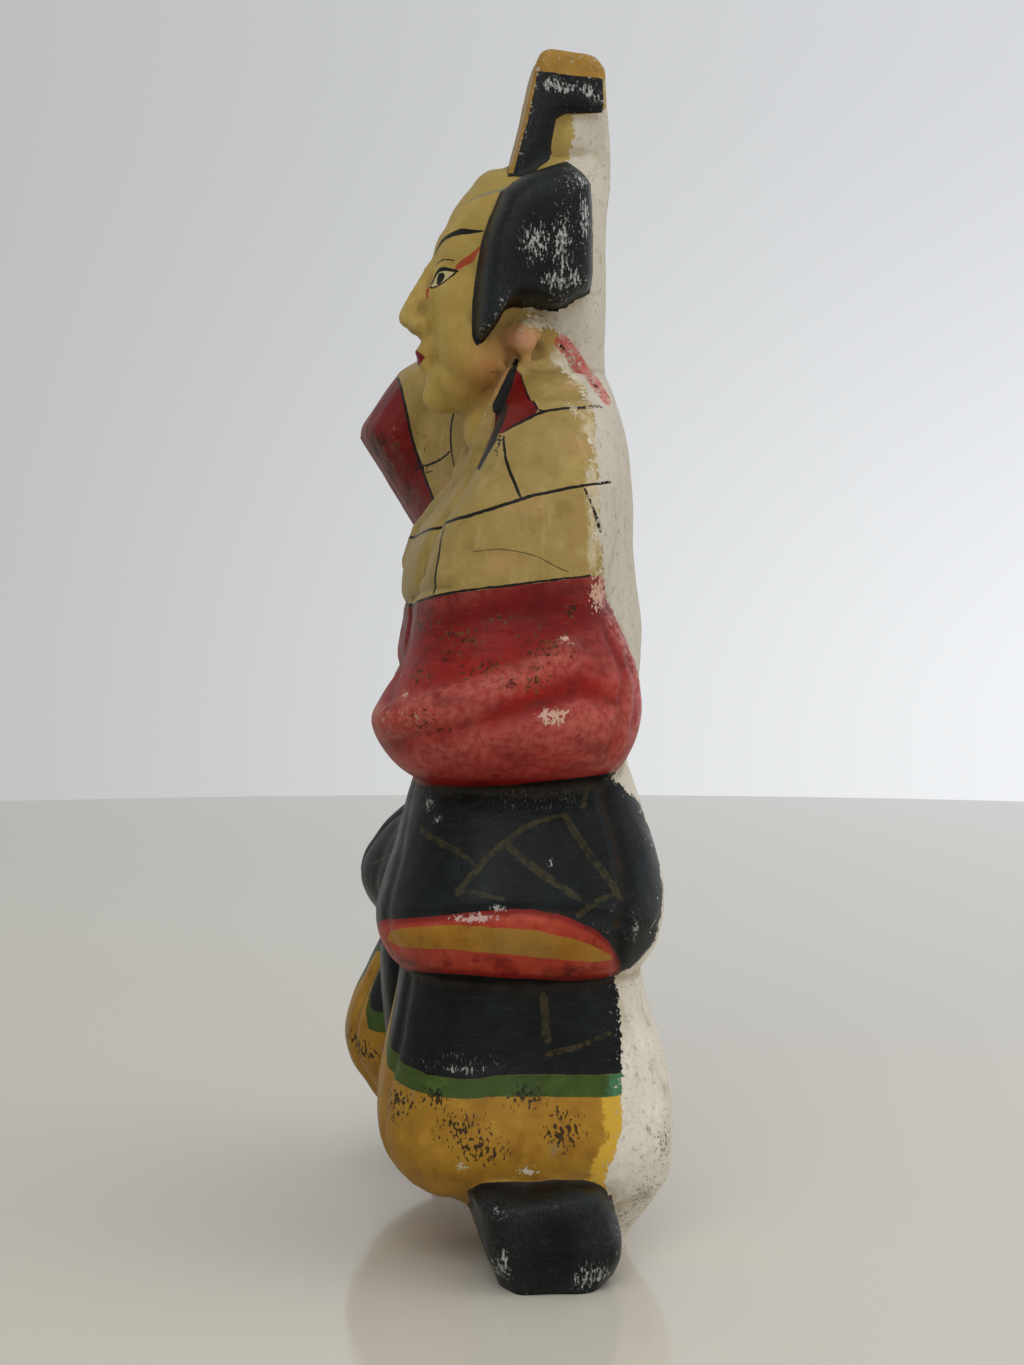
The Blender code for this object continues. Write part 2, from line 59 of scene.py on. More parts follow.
# Rows of an upright form: height, left edge, right edge, front, back, squareness.
FORMS_UPRIGHT = {
    "leg": [
        (-BELOW_TABLE, 33, 61, -8, 27, 2.4), (5, 33, 62, -9, 30, 2.4), (12, 30, 66, -15, 35, 2.4),
        (18, 24, 74, -26, 38, 2.5), (23, 16, 82, -37, 40, 2.7), (33, 9, 86, -43.5, 41.5, 2.7),
        (46, 8, 83, -44, 41.5, 2.6), (60, 8, 77, -41.5, 39, 2.6), (77, 7, 73, -38, 34, 2.6),
        (96, 6, 70, -35, 32, 2.5),
    ],
    "right_hem": [
        (14, -66, -34, -27, 0, 2.2), (24, -78, -24, -39.5, 12, 2.3), (31, -81, -18, -44, 18, 2.4),
        (38, -82, -15, -48.5, 20, 2.4), (47, -80, -13, -50.3, 20, 2.4),
        (57, -77, -12, -48.5, 20, 2.4), (67, -73, -13, -44.3, 20, 2.3),
        (78, -70, -14, -39, 20, 2.2),
    ],
    "skirt": [
        (81, 6, 71, -33, 31, 2.5), (84, 3, 79, -39, 34, 2.6), (90, 1, 84, -43, 37, 2.7),
        (98, 0, 87, -44.6, 38.5, 2.8), (107, 0, 85, -42.2, 39, 2.8), (118, 0, 79, -38.5, 37, 2.8),
        (130, 0, 72, -35, 33.5, 2.7), (142, 0, 65, -31, 30, 2.6),
    ],
    "right_skirt": [
        (81, -71, -6, -31, 31, 2.5), (84, -79, -3, -36, 34, 2.6), (90, -84, -1, -39, 37, 2.7),
        (98, -87, 0, -42, 38.5, 2.8), (107, -85, 0, -40, 39, 2.8), (118, -79, 0, -33, 37, 2.8),
        (124, -76, 0, -28.5, 35.5, 2.8), (130, -72, 0, -27, 33.5, 2.7), (142, -65, 0, -26, 30, 2.6),
    ],
    "skirt_middle": [
        (85, -34, 34, -33, 28, 3.0), (96, -40, 40, -38, 37, 3.0), (112, -40, 40, -36, 38, 3.0),
        (124, -40, 40, -31.5, 37, 3.0), (142, -40, 40, -27, 34, 3.0),
    ],
    "right_thigh": [
        (80, -74, -20, -34, 10, 2.1), (87, -80, -14, -39.5, 16, 2.1),
        (92, -83, -11, -43.2, 18, 2.1), (98, -84, -10, -45.5, 20, 2.1),
        (105, -83, -10, -44.3, 20, 2.1), (111, -80, -11, -40.7, 19, 2.1),
        (117, -77, -13, -36.2, 17, 2.1), (123, -70, -18, -29, 14, 2.1),
    ],
    "flap": [
        (45, -8, 8, -37, -31, 2.6), (50, -13, 13, -39, -30, 3.0), (62, -15, 15, -40, -29, 3.2),
        (76, -17, 17, -41, -24, 3.2), (92, -20, 20, -41, 4, 3.0),
    ],
    "waist": [
        (136, -57, 56, -30, 27, 2.6), (141, -64, 62, -35, 31, 2.6), (153, -71, 66, -37.5, 34, 2.5),
        (167, -70, 66, -36, 35, 2.5), (181, -62, 64, -34, 35, 2.5), (192, -56, 60, -32, 34, 2.5),
    ],
    "hip_sleeve": [
        (136.5, 24, 69, -31, 22, 2.4), (140, 17, 78, -37, 25.5, 2.5), (146, 13, 84, -42.5, 29, 2.6),
        (154, 11, 87.5, -46, 31.3, 2.6), (162, 11, 86, -42.5, 31.8, 2.6),
        (173, 11, 80, -35.5, 29.8, 2.6), (184, 12, 74, -33.5, 25.5, 2.6),
        (193, 14, 70, -32, 20, 2.6), (197, 18, 64, -28, 15, 2.4),
    ],
    "torso": [
        (150, -56, 58, -31, 35, 2.6), (176, -56, 61, -32.5, 37.8, 2.6),
        (192, -56, 62, -34, 36.3, 2.6), (206, -55, 62, -31.5, 35.2, 2.5),
        (219, -54, 60, -23, 35, 2.5), (230, -52, 57, -16, 34.5, 2.4), (241, -46, 50, -11, 33, 2.3),
        (250, -37, 40, -8, 31, 2.2), (257, -26, 28, -7, 29, 2.1),
    ],
    "left_arm": [
        (170, 36, 74, -30, 19, 2.4), (192, 36, 74, -31, 21, 2.4), (207, 33, 73, -27, 24, 2.3),
        (222, 29, 70, -18, 26, 2.3), (236, 24, 62, -11, 26, 2.2), (247, 20, 49, -6, 23, 2.1),
    ],
    "neck": [
        (238, -19, 19, -15, 27, 2.1), (252, -16, 16, -15, 27, 2.1), (268, -16, 16, -13, 27, 2.1),
        (282, -17, 17, -12, 27, 2.1),
    ],
    "back_of_head": [
        (254, -18, 18, 0, 28.5, 2.2), (276, -22, 22, 0, 28.5, 2.4), (296, -24, 24, 0, 28.5, 2.4),
        (312, -20, 20, 0, 29, 2.3), (324, -12, 12, 4, 29, 2.2),
    ],
}
BOTH_SIDES = ("leg",)
# Rows of the shoulder that runs out to the raised arm: distance along X, front, back, bottom, top,
# squareness.
RIGHT_SHOULDER = [
    (-20, -12, 28, 204, 254, 2.3), (-38, -20, 26, 206, 261, 2.2), (-52, -28, 22, 208, 266, 2.0),
    (-64, -34, 18, 211, 268, 1.9),
]
# Outlines seen from the side, as front-to-back and height, and how each narrows across its width.
SLEEVE = [
    (-30, 267.5), (-36.5, 258.5), (-43.2, 248), (-43.5, 244.5), (-34, 229), (-24.5, 214),
    (-19, 209), (-9, 207.5), (3, 210), (10, 220), (12, 240), (9, 258), (1, 268), (-10, 272), (-22, 272),
]
SLEEVE_WIDTH = [(50, 0.66), (59, 0.88), (70, 0.97), (84, 1), (91, 0.98), (95.5, 0.91), (98, 0.76)]
FOOT = [
    (-20.5, 24.5), (-17.5, 26.6), (-8, 27.1), (3, 27.5), (11, 27), (15.5, 25.4), (19.3, 21.5),
    (21.8, 14), (21.4, 7.5), (18.5, 2), (13, -BELOW_TABLE), (-10, -BELOW_TABLE), (-13.5, 2.5),
    (-16.4, 8), (-18.2, 15), (-19.8, 22.5),
]
FOOT_WIDTH = [
    (34, 0.94), (60, 1), (82, 1), (88, 0.985), (92, 0.955), (95, 0.9), (97.5, 0.82), (99.2, 0.7),
    (99.9, 0.55),
]
STRAP = [
    (-3, 312), (-1.4, 320), (2.9, 336), (6.1, 351), (7.6, 355.4), (10, 357), (24.5, 355.2),
    (27.6, 351), (27.8, 339), (15, 338.5), (11.5, 336.5), (10, 328), (9, 314),
]
CORE = [(3, 310), (7, 349), (27.2, 349), (29.5, 331), (29.9, 316), (27.5, 300)]
STRAP_WIDTH = [(-11.5, 1), (11.5, 1)]
CORE_WIDTH = [(-9, 1), (9, 1)]
HAIR = [
    (-12.8, 265.5), (-10.2, 268.5), (-6.8, 273.5), (-5.6, 276.5), (-2.6, 277.8), (4.3, 277.8),
    (10, 275.8), (13, 276.6), (17.4, 279.6), (21, 281.4), (22, 286.4), (22, 302), (21.4, 314.5),
    (18.3, 317.8), (14, 320.8), (7.9, 319), (1.6, 316.6), (-4.7, 312), (-8.5, 303.3),
    (-10.9, 295.9), (-12.7, 283.4), (-13.4, 276.9), (-13.6, 268),
]
HAIR_WIDTH = [(5, 0.98), (15, 1), (22, 0.995), (28, 0.96), (32, 0.89), (34.5, 0.78), (35.3, 0.64)]

# Balls of clay: centre, then half-sizes along X, Y and Z. Tapered limbs: two ends, each a centre and
# a radius.
HEAD_BALLS = [
    ((0, 1, 293), (24.5, 23.5, 28)),
    ((0, -13, 294), (18.5, 11.5, 13)),
    ((0, -7, 279), (22, 20, 30)),
    ((0, -14.5, 257.5), (14.5, 12.5, 11)),
    ((0, -20.5, 252), (7.5, 7.5, 5.5)),
    ((0, -19, 267.5), (10.5, 9.2, 8)),
    ((0, -4, 312), (14, 9.5, 10)),
    ((0, -27.6, 265.4), (5.6, 2.6, 1.8)),
    ((0, -27.0, 261.6), (4.6, 2.7, 1.9)),
]
MIRRORED_HEAD_BALLS = [
    ((10.5, -11.5, 267), (11, 12.5, 14)),
    ((3.4, -29.5, 273.2), (2.7, 3.0, 2.4)),
    ((21.6, 1.5, 268), (3.6, 4.2, 5.6)),
]
NOSE = [((0, -24.3, 291), 2.6), ((0, -32.2, 276), 3.4)]
FOREARM = [((-84, -6, 256), 12.5), ((-84, -3, 282), 10.5)]
CUFF_CENTRE = (-83, -5.5, 269)
CUFF_RADIUS = 12.5
CUFF_ROLL = 3.4
CUFF_POINTS = 16
FIST_CENTRE = (-84, -2.5, 292)
PALM_HALF_SIZES = (12, 10.5, 13.5)
FINGERS = 4
FINGER_RADIUS = 3.9
FINGER_PITCH = 6
FINGER_LENGTH = 13
FINGER_SINK = 1
FINGER_SLANT = 2
THUMB = [((-72.5, -7, 290), 4), ((-77, -13.5, 283), 3.6)]
COLLAR_ROLL = 2.7
COLLARS = [
    [(9, 24, 260), (17.5, 11, 260), (21.5, -2, 257), (23.5, -8, 246), (27, -13.5, 231),
     (19, -17.5, 225), (9, -21, 220.5), (-7, -28, 211), (-18, -31, 201)],
    [(-9, 24, 260), (-17.5, 11, 260), (-21.5, -2, 257), (-22, -9, 246), (-14, -12.5, 236),
     (0, -16.5, 227)],
]

# Grooves, by the side they are seen from: depth, half-width, and their line as distance across and
# height. A negative depth is a ridge.
GROOVES = {
    "front": [
        (2.6, 2.4, [(30, 243), (34, 228), (35, 210), (34, 193)]),
        (1.2, 1.6, [(-56, 192), (-30, 189), (0, 188), (34, 191), (68, 193)]),
        (2.2, 2.2, [(20, 188), (17, 170), (20, 150), (28, 138)]),
        (1.4, 2.6, [(-58, 178), (-30, 170), (-4, 168), (14, 172)]),
        (1.4, 2.6, [(-62, 163), (-34, 155), (-6, 153), (12, 158)]),
        (1.3, 2.4, [(30, 182), (46, 168), (66, 160)]),
        (1.8, 1.6, [(-10, 138), (-4, 118), (0, 98), (-2, 84)]),
        (1.5, 2.6, [(18, 136), (30, 116), (38, 90)]),
        (0.8, 2.6, [(40, 134), (56, 114), (66, 92)]),
        (1.5, 2.6, [(-30, 136), (-44, 116), (-50, 92)]),
        (1, 2.4, [(30, 82), (28, 58), (32, 26)]),
        (1.2, 2.4, [(54, 80), (58, 56), (60, 26)]),
        (1.7, 2.4, [(-32, 82), (-32, 58), (-36, 26)]),
        (1.7, 2.4, [(-56, 80), (-60, 56), (-60, 26)]),
        (1.1, 1.1, [(-95, 286.4), (-77, 285.4)]),
        (1.1, 1.1, [(-95, 292.4), (-76, 291.4)]),
        (1.1, 1.1, [(-95, 298.4), (-76, 297.4)]),
        (0.9, 3.2, [(6, 286.5), (15, 287.5)]),
        (0.9, 3.2, [(-6, 286.5), (-15, 287.5)]),
    ],
    "left": [
        (2, 3.4, [(-42, 148), (-34, 152), (-11, 157.7), (10, 164.6), (19, 162)]),
        (-2, 4.2, [(-46, 155), (-25.6, 160.7), (-5, 168.8), (8, 174)]),
        (1.2, 1.5, [(20, 180), (24.5, 168), (23, 156), (19, 146)]),
        (1, 1.3, [(26, 174), (29, 163), (27, 152)]),
        (1.5, 1.8, [(19, 134), (22, 120), (23.5, 108), (21, 96), (22.5, 84)]),
        (0.9, 1.3, [(-44, 98), (-30, 102), (-6, 103.5), (14, 102), (32, 95)]),
    ],
    "right": [
        (1.2, 3.2, [(-38, 150), (-20, 154), (0, 157.5), (18, 161), (33, 161)]),
        (0.9, 1.3, [(-44, 98), (-30, 102), (-6, 103.5), (14, 102), (32, 95)]),
        (2.2, 3, [(-19, 260), (-8, 254), (-4, 241), (-8, 227), (-19, 221), (-30, 227), (-34, 241),
          (-30, 254), (-19, 260)]),
    ],
}
FACING_GAIN = 3
# For each side: the axis across, the axis up, the axis towards the viewer and its direction.
SIDES = {"front": ("x", "z", "y", -1), "left": ("y", "z", "x", 1), "right": ("y", "z", "x", -1)}


# Forms


def eased(rows, column, position):
    """The value of one column between two rows, on a curve through the rows beside them."""
    i = min(int(position), len(rows) - 2)
    t = position - i
    before = rows[max(i - 1, 0)][column]
    a = rows[i][column]
    b = rows[i + 1][column]
    after = rows[min(i + 2, len(rows) - 1)][column]
    return a + 0.5 * t * (
        b - before + t * (2 * before - 5 * a + 4 * b - after + t * (3 * (a - b) + after - before))
    )


def skin(form, rings):
    """Faces between rings of points, closed at both ends."""
    made = [[form.verts.new(Vector(point) * U) for point in ring] for ring in rings]
    for lower, upper in zip(made, made[1:]):
        for k in range(len(lower)):
            n = (k + 1) % len(lower)
            form.faces.new((lower[k], lower[n], upper[n], upper[k]))
    form.faces.new(made[0][::-1])
    form.faces.new(made[-1])


def loft(form, rows, along, side=1):
    """A closed form through rows of sections, upright or along X, mirrored when side is -1."""
    rings = []
    for step in range((len(rows) - 1) * STEPS_BETWEEN_ROWS + 1):
        position = step / STEPS_BETWEEN_ROWS
        place, low_a, high_a, low_b, high_b, square = [eased(rows, c, position) for c in range(6)]
        ring = []
        for k in range(RING_POINTS):
            angle = 2 * math.pi * k / RING_POINTS
            c, s = math.cos(angle), math.sin(angle)
            a = (low_a + high_a + (high_a - low_a) * math.copysign(abs(c) ** (2 / square), c)) / 2
            b = (low_b + high_b + (high_b - low_b) * math.copysign(abs(s) ** (2 / square), s)) / 2
            x, y, z = (a, b, place) if along == "z" else (place, a, b)
            ring.append((x * side, y, z))
        rings.append(ring)
    skin(form, rings)


def turned(place, profile):
    turns = [2 * math.pi * k / RING_POINTS for k in range(RING_POINTS)]
    return [
        [place @ Vector((radius * math.cos(t), radius * math.sin(t), height)) for t in turns]
        for radius, height in profile
    ]


def dome(radius, start, end):
    angles = [math.radians(start + (end - start) * k / DOME_STEPS) for k in range(DOME_STEPS + 1)]
    return [(radius * math.cos(a), radius * math.sin(a)) for a in angles]


def ball(form, centre, half_sizes):
    place = Matrix.Translation(centre) @ Matrix.Diagonal((*half_sizes, 1))
    skin(form, turned(place, dome(1, -POLE_LATITUDE, 0) + dome(1, 0, POLE_LATITUDE)[1:]))


def limb(form, ends):
    """A tapered round limb with a ball at each end."""
    (start, start_radius), (end, end_radius) = ends
    run = Vector(end) - Vector(start)
    place = Matrix.Translation(start) @ run.to_track_quat("Z", "Y").to_matrix().to_4x4()
    lower = dome(start_radius, -POLE_LATITUDE, 0)
    upper = [(radius, run.length + h) for radius, h in dome(end_radius, 0, POLE_LATITUDE)]
    skin(form, turned(place, lower + upper))


def cord(form, points, radius):
    for start, end in zip(points, points[1:]):
        limb(form, [(start, radius), (end, radius)])


def plate(form, outline, width, side):
    """A form with the same outline across its width, narrowed about its middle by each share."""
    middle = Vector([sum(c) / len(outline) for c in zip(*outline)])
    rings = []
    for x, share in width:
        shrunk = [middle + (Vector(p) - middle) * share for p in outline]
        rings.append([(x * side, p.x, p.y) for p in shrunk])
    skin(form, rings)


def add_hand(form):
    limb(form, FOREARM)
    ball(form, FIST_CENTRE, PALM_HALF_SIZES)
    x, y, z = FIST_CENTRE
    front = y - PALM_HALF_SIZES[1] + FINGER_SINK
    reach = FINGER_LENGTH / 2
    for finger in range(FINGERS):
        height = z + (finger - (FINGERS - 1) / 2) * FINGER_PITCH
        outer = (x - reach, front + FINGER_SLANT, height)
        inner = (x + reach, front, height)
        limb(form, [(outer, FINGER_RADIUS), (inner, FINGER_RADIUS)])
    limb(form, THUMB)


def add_cuff(form):
    x, y, z = CUFF_CENTRE
    turns = [2 * math.pi * k / CUFF_POINTS for k in range(CUFF_POINTS + 1)]
    rim = [(x + CUFF_RADIUS * math.cos(t), y + CUFF_RADIUS * math.sin(t), z) for t in turns]
    cord(form, rim, CUFF_ROLL)


def add_head(form):
    loft(form, FORMS_UPRIGHT["neck"], "z")
    loft(form, FORMS_UPRIGHT["back_of_head"], "z")
    for centre, half_sizes in HEAD_BALLS:
        ball(form, centre, half_sizes)
    for (x, y, z), half_sizes in MIRRORED_HEAD_BALLS:
        ball(form, (x, y, z), half_sizes)
        ball(form, (-x, y, z), half_sizes)
    limb(form, NOSE)


def add_collars(form):
    for line in COLLARS:
        cord(form, line, COLLAR_ROLL)


def add_shoulder(form):
    loft(form, RIGHT_SHOULDER, "x")


def lofts(*names):
    """A function that adds these upright forms."""
    def add(form):
        for name in names:
            for side in (1, -1) if name in BOTH_SIDES else (1,):
                loft(form, FORMS_UPRIGHT[name], "z", side)
    return add


def plates(outline, width, *sides):
    """A function that adds this outlined form on each of these sides."""
    def add(form):
        for side in sides:
            plate(form, outline, width, side)
    return add


# Each group of forms that a painter would treat as one thing.
GROUPS = {
    "legs": lofts("leg", "right_hem"),
    "feet": plates(FOOT, FOOT_WIDTH, 1, -1),
    "skirt": lofts("skirt", "right_skirt", "skirt_middle", "right_thigh"),
    "flap": lofts("flap"),
    "waist": lofts("waist", "hip_sleeve"),
    "torso": lofts("torso", "left_arm"),
    "shoulder": add_shoulder,
    "sleeve": plates(SLEEVE, SLEEVE_WIDTH, -1),
    "cuff": add_cuff,
    "hand": add_hand,
    "collars": add_collars,
    "head": add_head,
    "hair": plates(HAIR, HAIR_WIDTH, 1, -1),
    "strap": plates(STRAP, STRAP_WIDTH, 1),
    "core": plates(CORE, CORE_WIDTH, 1),
}


def form_mesh(name, adders):
    form = bmesh.new()
    for add in adders:
        add(form)
    bmesh.ops.recalc_face_normals(form, faces=form.faces)
    mesh = bpy.data.meshes.new(name)
    form.to_mesh(mesh)
    form.free()
    return mesh


def fused():
    """One skin round all the overlapping forms, softened as wet clay is."""
    obj = bpy.data.objects.new("painted_doll", form_mesh("painted_doll", GROUPS.values()))
    bpy.context.scene.collection.objects.link(obj)
    remesh = obj.modifiers.new("one_skin", "REMESH")
    remesh.mode = "VOXEL"
    remesh.voxel_size = SKIN_DETAIL * U
    soften = obj.modifiers.new("soften", "SMOOTH")
    soften.factor = 0.5
    soften.iterations = SMOOTH_PASSES
    graph = bpy.context.evaluated_depsgraph_get()
    made = bpy.data.meshes.new_from_object(obj.evaluated_get(graph))
    obj.modifiers.clear()
    obj.data = made
    made.name = obj.name
    return obj


def points_of(mesh):
    """Vertex places in figure units, and the outward direction at each."""
    points = np.empty(len(mesh.vertices) * 3, np.float32)
    mesh.vertices.foreach_get("co", points)
    outward = np.empty(len(mesh.vertices) * 3, np.float32)
    mesh.vertex_normals.foreach_get("vector", outward)
    return points.reshape(-1, 3) / U, outward.reshape(-1, 3)


def set_points(mesh, points):
    mesh.vertices.foreach_set("co", (points * U).astype(np.float32).ravel())
    mesh.update()


def nearest_on_line(points, line):
    """Distance from each point of a plane to a line, signed by side, and how far along it is."""
    line = np.array(line, float)
    runs = line[1:] - line[:-1]
    lengths = np.linalg.norm(runs, axis=1)
    starts = np.concatenate([[0], np.cumsum(lengths)[:-1]])
    total = lengths.sum()
    best = np.full(len(points), np.inf)
    signed = np.zeros(len(points))
    along = np.zeros(len(points))
    for i, (start, run, length) in enumerate(zip(line[:-1], runs, lengths)):
        away = points - start
        share = away @ run / length**2
        low = -np.inf if i == 0 else 0
        high = np.inf if i == len(runs) - 1 else 1
        held = np.clip(share, 0, 1)
        distance = np.linalg.norm(away - held[:, None] * run, axis=1)
        side = (run[0] * away[:, 1] - run[1] * away[:, 0]) / length
        open_share = np.clip(share, low, high)
        nearer = distance < best
        best[nearer] = distance[nearer]
        on_run = np.abs(open_share - held) * length
        signed[nearer] = np.where(on_run > 0, side, np.copysign(distance, side))[nearer]
        along[nearer] = ((starts[i] + open_share * length) / total)[nearer]
    return best, signed, along


def carve_grooves(mesh):
    points, outward = points_of(mesh)
    push = np.zeros(len(points))
    for side, grooves in GROOVES.items():
        *axes, direction = SIDES[side]
        across, up, towards = ["xyz".index(axis) for axis in axes]
        facing = np.clip(FACING_GAIN * direction * outward[:, towards], 0, 1)
        if side != "front":
            facing = facing * (points[:, towards] * direction > 0)
        for depth, half_width, line in grooves:
            away, _, _ = nearest_on_line(points[:, [across, up]], line)
            push -= depth * facing * np.exp(-((away / half_width) ** 2))
    set_points(mesh, points + outward * push[:, None])


def cut_soles_flat(mesh):
    form = bmesh.new()
    form.from_mesh(mesh)
    everything = form.verts[:] + form.edges[:] + form.faces[:]
    bmesh.ops.bisect_plane(
        form, geom=everything, dist=1e-6, plane_co=(0, 0, 0), plane_no=(0, 0, 1), clear_inner=True
    )
    bmesh.ops.holes_fill(form, edges=[e for e in form.edges if e.is_boundary])
    bmesh.ops.recalc_face_normals(form, faces=form.faces)
    form.to_mesh(mesh)
    form.free()


# Where each colour goes

# The front is painted on before this depth, the face above this height and each side this far out.
FRONT_BEFORE = 4
FACE_ABOVE = 250
SIDE_BEYOND = 3
# Heights in mm against the angle round the figure: 0 faces forward, 90 its left side.
WRAP_CENTRE_Y = 4
WRAP_RADIUS = 62
RED_TOP = [(-180, 196), (-115, 197), (-99, 195.7), (-80, 193), (-60, 189.5), (0, 187.5), (45, 187.2),
           (52, 187.8), (62.5, 189.8), (71, 191.4), (80, 192.8), (89, 194.2), (99, 195.7), (115, 197),
           (180, 196)]
RED_LOW = [(-180, 139), (-105, 140), (-90, 138.8), (-71, 136.6), (-50, 135.6), (0, 135), (52, 135.6),
           (71, 136.4), (81, 137), (90, 138.6), (105, 140), (180, 139)]
LENS_TOP = [(38, 90), (44, 95), (53.8, 98.5), (64.6, 101), (72.4, 102.6), (78.6, 103.8), (84.8, 103.8),
            (91, 101.9), (96.4, 98.3), (99.9, 93.8), (103.7, 87.6), (106.5, 82)]
# The lens on the right hip starts this many degrees further back.
RIGHT_LENS_BACK = 20
LENS_LOW = [(38, 89), (42, 84), (51.9, 82.4), (66.2, 84.6), (75, 84.4), (83.1, 83.2), (92.2, 82),
            (102.4, 82), (106.2, 83)]
OCHRE_TOP = [(53, 92.5), (55, 95.5), (60, 97.4), (64.9, 98.6), (72.2, 99.7), (78.7, 98.9), (85.7, 98.1),
             (93.6, 95), (100.3, 90.4), (102.5, 88)]
OCHRE_LOW = [(53, 92.3), (57, 91.4), (69.3, 92.6), (77.5, 91.6), (85.8, 90.2), (94, 88.7), (98.2, 88.2),
             (102.5, 88.4)]
# The hem band of each trouser leg against the angle round that leg, 90 outward: it is drawn up
# to a peak in front.
LEG_CENTRE = (45, 0)
GREEN_TOP = [(-180, 56), (-90, 56), (-40, 57), (-26, 57.5), (-22.5, 62), (-20, 72), (-17, 78.5),
             (-10, 79), (-4, 71), (3, 63.5), (12, 59.6), (24, 57.4), (40, 55.6), (58, 55), (70, 56.2),
             (90, 56.5), (115, 55.6), (180, 56)]
GREEN_WIDTH = [(-180, 5.8), (-26, 6), (-18, 4), (-6, 4), (6, 4.6), (20, 5), (60, 5), (90, 5.8),
               (180, 5.4)]
# How far back the paint reaches, against height. Behind it the moulded clay is bare.
PAINT_BACK = [(0, 15), (24, 16), (31, 18.4), (40, 22), (60, 23.6), (75, 23.2), (82, 22.4), (86, 28),
              (92, 34), (105, 37), (120, 36), (130, 32), (136, 25), (138, 22), (144, 28), (150, 31),
              (160, 33), (170, 30), (180, 26), (190, 21), (197, 19), (211, 18), (226, 17.5),
              (238, 18), (247, 19), (254, 17.5), (262, 14.5), (269, 12), (274, 8), (277, 1),
              (279, 8), (300, 14), (312, 12), (330, 17.9), (340, 17.9)]
# How far out the dark stroke on the left shoulder begins, against height.
COLLAR_STROKE = [(226, 40), (230, 38), (236, 34), (242, 28), (247, 24), (252, 21), (257, 18), (262, 15)]
# How far each colour runs on under the next one, so that no ground shows between them.
UNDERLAP = 0.7
# How far the paint of a group of forms runs past the line where it meets another group.
PAST_BORDER = {"feet": 0.2, "hair": 0.3, "strap": 0.4, "flap": 0.5}
HEAD_PAST_BORDER = 0.4
SLEEVE_PAST_HAND = 0.3
SLEEVE_PAST_TORSO = 0.5
GILT_PAST_STRAP = 3
SLEEVE_PAINT_BACK = 1.5
SLEEVE_BACK_INNER = -60
SLEEVE_BACK_LOW = 200
HAND_PAINT_BACK = -3
FOOT_PAINT_BACK = 21.5
# Below the sleeve the paint also stops at this angle on each side, and a degree is about this wide.
PAINT_BACK_ANGLE = 121
MM_PER_DEGREE = 0.9
# The raised sleeve is red in front of this line of height and depth, and all round outside the arm.
SLEEVE_EDGE = [(200, -14), (212, -18), (220.5, -20.8), (243.6, -28.2), (264, -31.5), (275, -33)]
SLEEVE_OUTER = -77
SLEEVE_INNER = -40
SLEEVE_LOW = 204
WRIST = 268
CREST_LINE = [(0, 308.2), (28, 309.2), (41, 311.2), (66, 313), (180, 316)]

RED_PATCH = [(75, 259), (81, 257), (88, 243.6), (76.6, 236.8), (66, 240), (66, 247)]
NAPE_PATCH = [(13, 267), (17, 262), (21, 256), (24.5, 249)]
NAPE_PATCH_HALF_WIDTH = 2.2
NAPE_INNER = 6
FLAP_HEM_TOP = 50.5
LEGS_TOP = 90
# The gilt on the strap covers its top, down to a line that falls towards the back, and its front as
# far back as this against height. The black of its sides ends short of the back.
GILT_LOW = 350.4
GILT_SLOPE = 0.1
GILT_FRONT = [(312, -2.1), (320, -0.5), (336, 3.8), (351, 7), (356, 9.1)]
STRAP_BLACK_BACK = 26.9
# Where the grey sheen along the front rim of the hair ends, as depth against height.
HAIR_RIM = [(265, -17.7), (277, -17.7), (284, -17.1), (296, -15.4), (303, -13), (312, -9.2),
            (317, -2.9)]

# The eye on each side of the face, as distance across and height.
EYE_TOP = [(4.6, 285.4), (7.2, 288.2), (11, 289.4), (16.2, 288)]
EYE_LOW = [(4.6, 285), (7.4, 284.4), (11.6, 284.9), (16, 288)]
